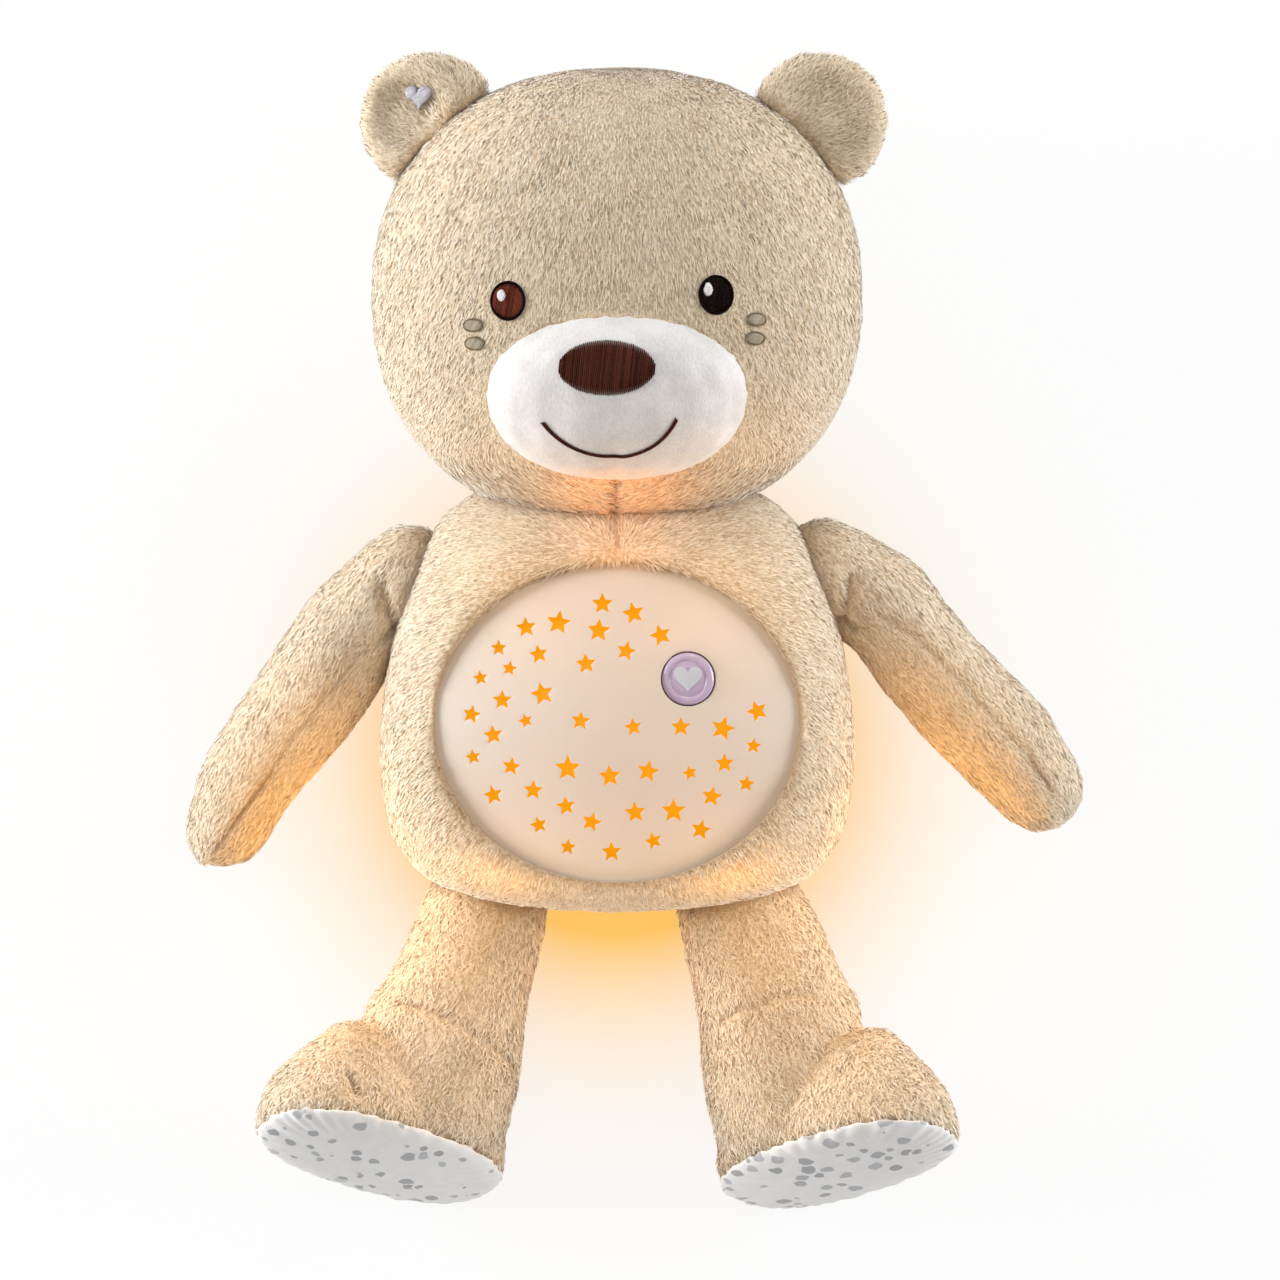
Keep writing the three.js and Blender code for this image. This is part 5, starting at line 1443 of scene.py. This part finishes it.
button = {
    "middle": (0.0231, -0.0304), "top": 0.0918, "radius": 0.0086,
    "profile": [(0, 0), (0.42, 0), (0.56, -0.0001), (0.63, -0.00045), (0.68, -0.0005),
                (0.73, -0.0002), (0.8, 0.0), (0.88, -0.0001), (0.95, -0.0004), (0.99, -0.001),
                (1.0, -0.0018), (1.0, -0.0073), (0, -0.0073)],
    "heart": 0.0047, "heartDown": 0.0002, "heartDeep": 0.0006, "heartRise": 0.00025,
    "gasket": [(0.00865, 0.0905), (0.00905, 0.0905), (0.00905, 0.0862), (0.00865, 0.0862),
               (0.00865, 0.0905)],
}


def makeButton():
    x, y = button["middle"]
    profile = [(r * button["radius"], button["top"] + z) for r, z in button["profile"]]
    cap = turnedPiece("heart_button_cap", (x, y), profile)
    dressSkin(cap, "heart_button", "lilac", "heart_button")
    line = heartLine(x, y - button["heartDown"], button["heart"], 64)
    inlay = prisms("button_heart_inlay", [line], button["top"] - button["heartDeep"],
                   button["top"] + button["heartRise"])
    bevel(inlay, 0.0002, 3, 50)
    smoothShade(inlay, 40)
    dressSkin(inlay, "button_heart", "heart", "heart_button")
    # a dark ring in the gap round the cap: painted shadow
    gasket = turnedPiece("button_shadow_ring", (x, y), button["gasket"])
    finishPiece(gasket, finishes["buttonShadow"], "bear")


makeButton()
print("button made")


# Back flap, then finishes for the CAD nodes that stay

def makeFlap():
    skin = copyOfNode("back_flap_plush", "back_flap")
    bevel(skin, 0.0008, 3, 40)
    smoothShade(skin, 50)
    dressSkin(skin, "back_flap", "backing", "back_flap")


makeFlap()

carried = {
    "lens": ["light_1", "light_2", "light_3"],
    "whitePlastic": ["rear_housing", "battery_door", "mode_knob"],
    "steel": ["housing_screw_1", "housing_screw_2", "housing_screw_3", "housing_screw_4",
              "door_screw", "contact_plate_1", "contact_plate_2", "contact_plate_3",
              "contact_spring_1", "contact_spring_2", "contact_spring_3", "button_spring"],
    "cell": ["battery_1", "battery_2", "battery_3"],
    "blackPlastic": ["slide_switch", "push_switch", "speaker"],
    "board": ["button_board", "main_board"],
    "lead": ["speaker_lead", "battery_lead", "button_lead"],
    "tape": ["hook_strip", "loop_strip"],
}

for finish, names in carried.items():
    for name in names:
        nodes[name].data.materials.clear()
        nodes[name].data.materials.append(finishes[finish])
print("CAD nodes dressed")


# Floor with a painted pool of the lamp's light, then studio light and lamps for the lamp's own glow

studio = {
    "world": 0.41, "floorHalf": 3.0, "floorHeight": -0.0002,
    # the halo is a painted pool of the lamp's amber light on the floor
    "haloMiddle": (0.0, -0.052), "haloSpread": 0.0697, "haloStrength": 1.95, "haloMost": 0.86,
    "haloColour": (1.0, 0.52, 0.0), "glowShare": 0.9,  # of the floor as seen, the rest has shadow
    "aim": (0, 0, 0.05),
}
white, warm = (1.0, 1.0, 1.0), (1.0, 0.5, 0.08)
softboxes = [  # place and power
    ((-1.9, 0.35, 0.5), 44.0), ((1.9, 0.3, 0.5), 28.0), ((0.1, 1.9, 0.6), 10.0),
    ((-0.5, 0.7, 2.3), 3.0),
]
glows = [  # name, place, power, radius
    ("leftGlow", (-0.098, -0.066, 0.02), 0.014, 0.014),
    ("rightGlow", (0.103, -0.058, 0.02), 0.01, 0.014),
    ("lowerGlow", (0.0, -0.13, 0.015), 0.015, 0.014),
    ("lowLeftGlow", (-0.108, -0.115, 0.026), 0.013, 0.014),
    ("lowRightGlow", (0.112, -0.115, 0.026), 0.01, 0.014),
    ("leftArmGlow", (-0.098, -0.103, 0.055), 0.038, 0.014),
    ("rightArmGlow", (0.106, -0.09, 0.055), 0.045, 0.014),
    ("leftLegFill", (-0.047, -0.115, 0.094), 0.032, 0.02),
    ("rightLegFill", (0.047, -0.115, 0.094), 0.036, 0.02),
    ("lapGlow", (0.0, -0.13, 0.15), 0.045, 0.02),
    ("leftChinFill", (-0.035, 0.005, 0.115), 0.011, 0.008),
    ("rightChinFill", (0.03, 0.003, 0.115), 0.01, 0.008),
    ("chestFill", (0.06, 0.004, 0.13), 0.012, 0.012),
    ("plateGlow", (0.0, -0.05, 0.23), 0.03, 0.03),
]
spots = [  # name, place, power, radius, colour, aim, cone
    ("chinGlow", (0.0, -0.012, 0.135), 0.11, 0.008, (1.0, 0.3, 0.0), (0.0, 0.03, 0.088), 56),
    ("soleLight", (0.0, -0.78, 0.17), 3.4, 0.08, white, (0.0, -0.185, 0.03), 27),
    ("leftArmLight", (-0.1, -0.07, 0.14), 0.12, 0.01, warm, (-0.113, -0.057, 0.03), 50),
    ("rightArmLight", (0.09, -0.06, 0.14), 0.085, 0.01, warm, (0.118, -0.04, 0.03), 46),
]


def addLamp(kind, name, place, power, size, colour, aim=None, cone=None):
    data = bpy.data.lights.new(name, kind)
    data.energy, data.color = power, colour
    if kind == "AREA":
        data.size = size
    else:
        data.shadow_soft_size = size
    if cone:
        data.spot_size, data.spot_blend = math.radians(cone), 0.9
    lamp = bpy.data.objects.new(name, data)
    lamp.location = place
    if aim:
        way = Vector(aim) - Vector(place)
        lamp.rotation_euler = way.to_track_quat("-Z", "Y").to_euler()
    scene.collection.objects.link(lamp)
    lamp.visible_camera = False


def addNode(tree, kind, inputs, **settings):
    made = tree.nodes.new(kind)
    for key, value in settings.items():
        setattr(made, key, value)
    for key, value in inputs.items():
        if isinstance(value, bpy.types.NodeSocket):
            tree.links.new(value, made.inputs[key])
        else:
            made.inputs[key].default_value = value
    return made.outputs[0]


def setWorld():
    # white to the camera and through clear pieces, dimmer as light
    world = bpy.data.worlds.new("studioWorld")
    scene.world = world
    world.use_nodes = True
    tree = world.node_tree
    path = tree.nodes.new("ShaderNodeLightPath").outputs
    rays = {0: path["Is Camera Ray"], 1: path["Is Transmission Ray"]}
    seen = addNode(tree, "ShaderNodeMath", rays, operation="MAXIMUM")
    levels = {"Value": seen, "To Min": studio["world"], "To Max": 1.0}
    strength = addNode(tree, "ShaderNodeMapRange", levels)
    background = tree.nodes["Background"].inputs
    tree.links.new(strength, background["Strength"])
    background["Color"].default_value = (*white, 1)


def makeFloorFinish():
    f = Finish("studioFloor", roughness=0.9, specularLevel=0.0)
    # the halo, a painted pool of the lamp's light, goes into the floor's colour and into what it
    # gives off
    x, y = studio["haloMiddle"]
    far = f.vector("LENGTH", f.vector("ADD", f.coordinates(), (-x, -y, 0.0)), out=1)
    fall = (far * far * (-1 / studio["haloSpread"] ** 2)).sum("EXPONENT")
    halo = (fall * studio["haloStrength"]).least(studio["haloMost"])
    colour = f.blend(halo, white, studio["haloColour"])
    path, glossy, passing = (f.node("ShaderNodeLightPath", out="Is " + kind + " Ray")
                             for kind in ("Camera", "Glossy", "Transmission"))
    glow = f.node("ShaderNodeEmission", {"Color": colour, "Strength": 1.0})
    f.set(colour=colour)
    share = path.most(glossy).most(passing) * studio["glowShare"]
    mixed = f.node("ShaderNodeMixShader", {0: share, 1: Wire(f, f.shader.outputs[0]), 2: glow})
    f.tree.links.new(mixed.socket, f.tree.nodes["Material Output"].inputs[0])
    return f.material


def setStudio():
    clearSelection()
    bpy.ops.mesh.primitive_plane_add(size=2 * studio["floorHalf"],
                                     location=(0, 0, studio["floorHeight"]))
    floor = bpy.context.object
    floor.name = "floor"
    floor.data.materials.append(makeFloorFinish())
    setWorld()
    for place, power in softboxes:
        addLamp("AREA", "softbox", place, power, 1.0, white, studio["aim"])
    for glow in glows:
        addLamp("POINT", *glow, warm)
    for spot in spots:
        addLamp("SPOT", *spot)
    scene.view_settings.view_transform = "Standard"


setStudio()
print("studio set")
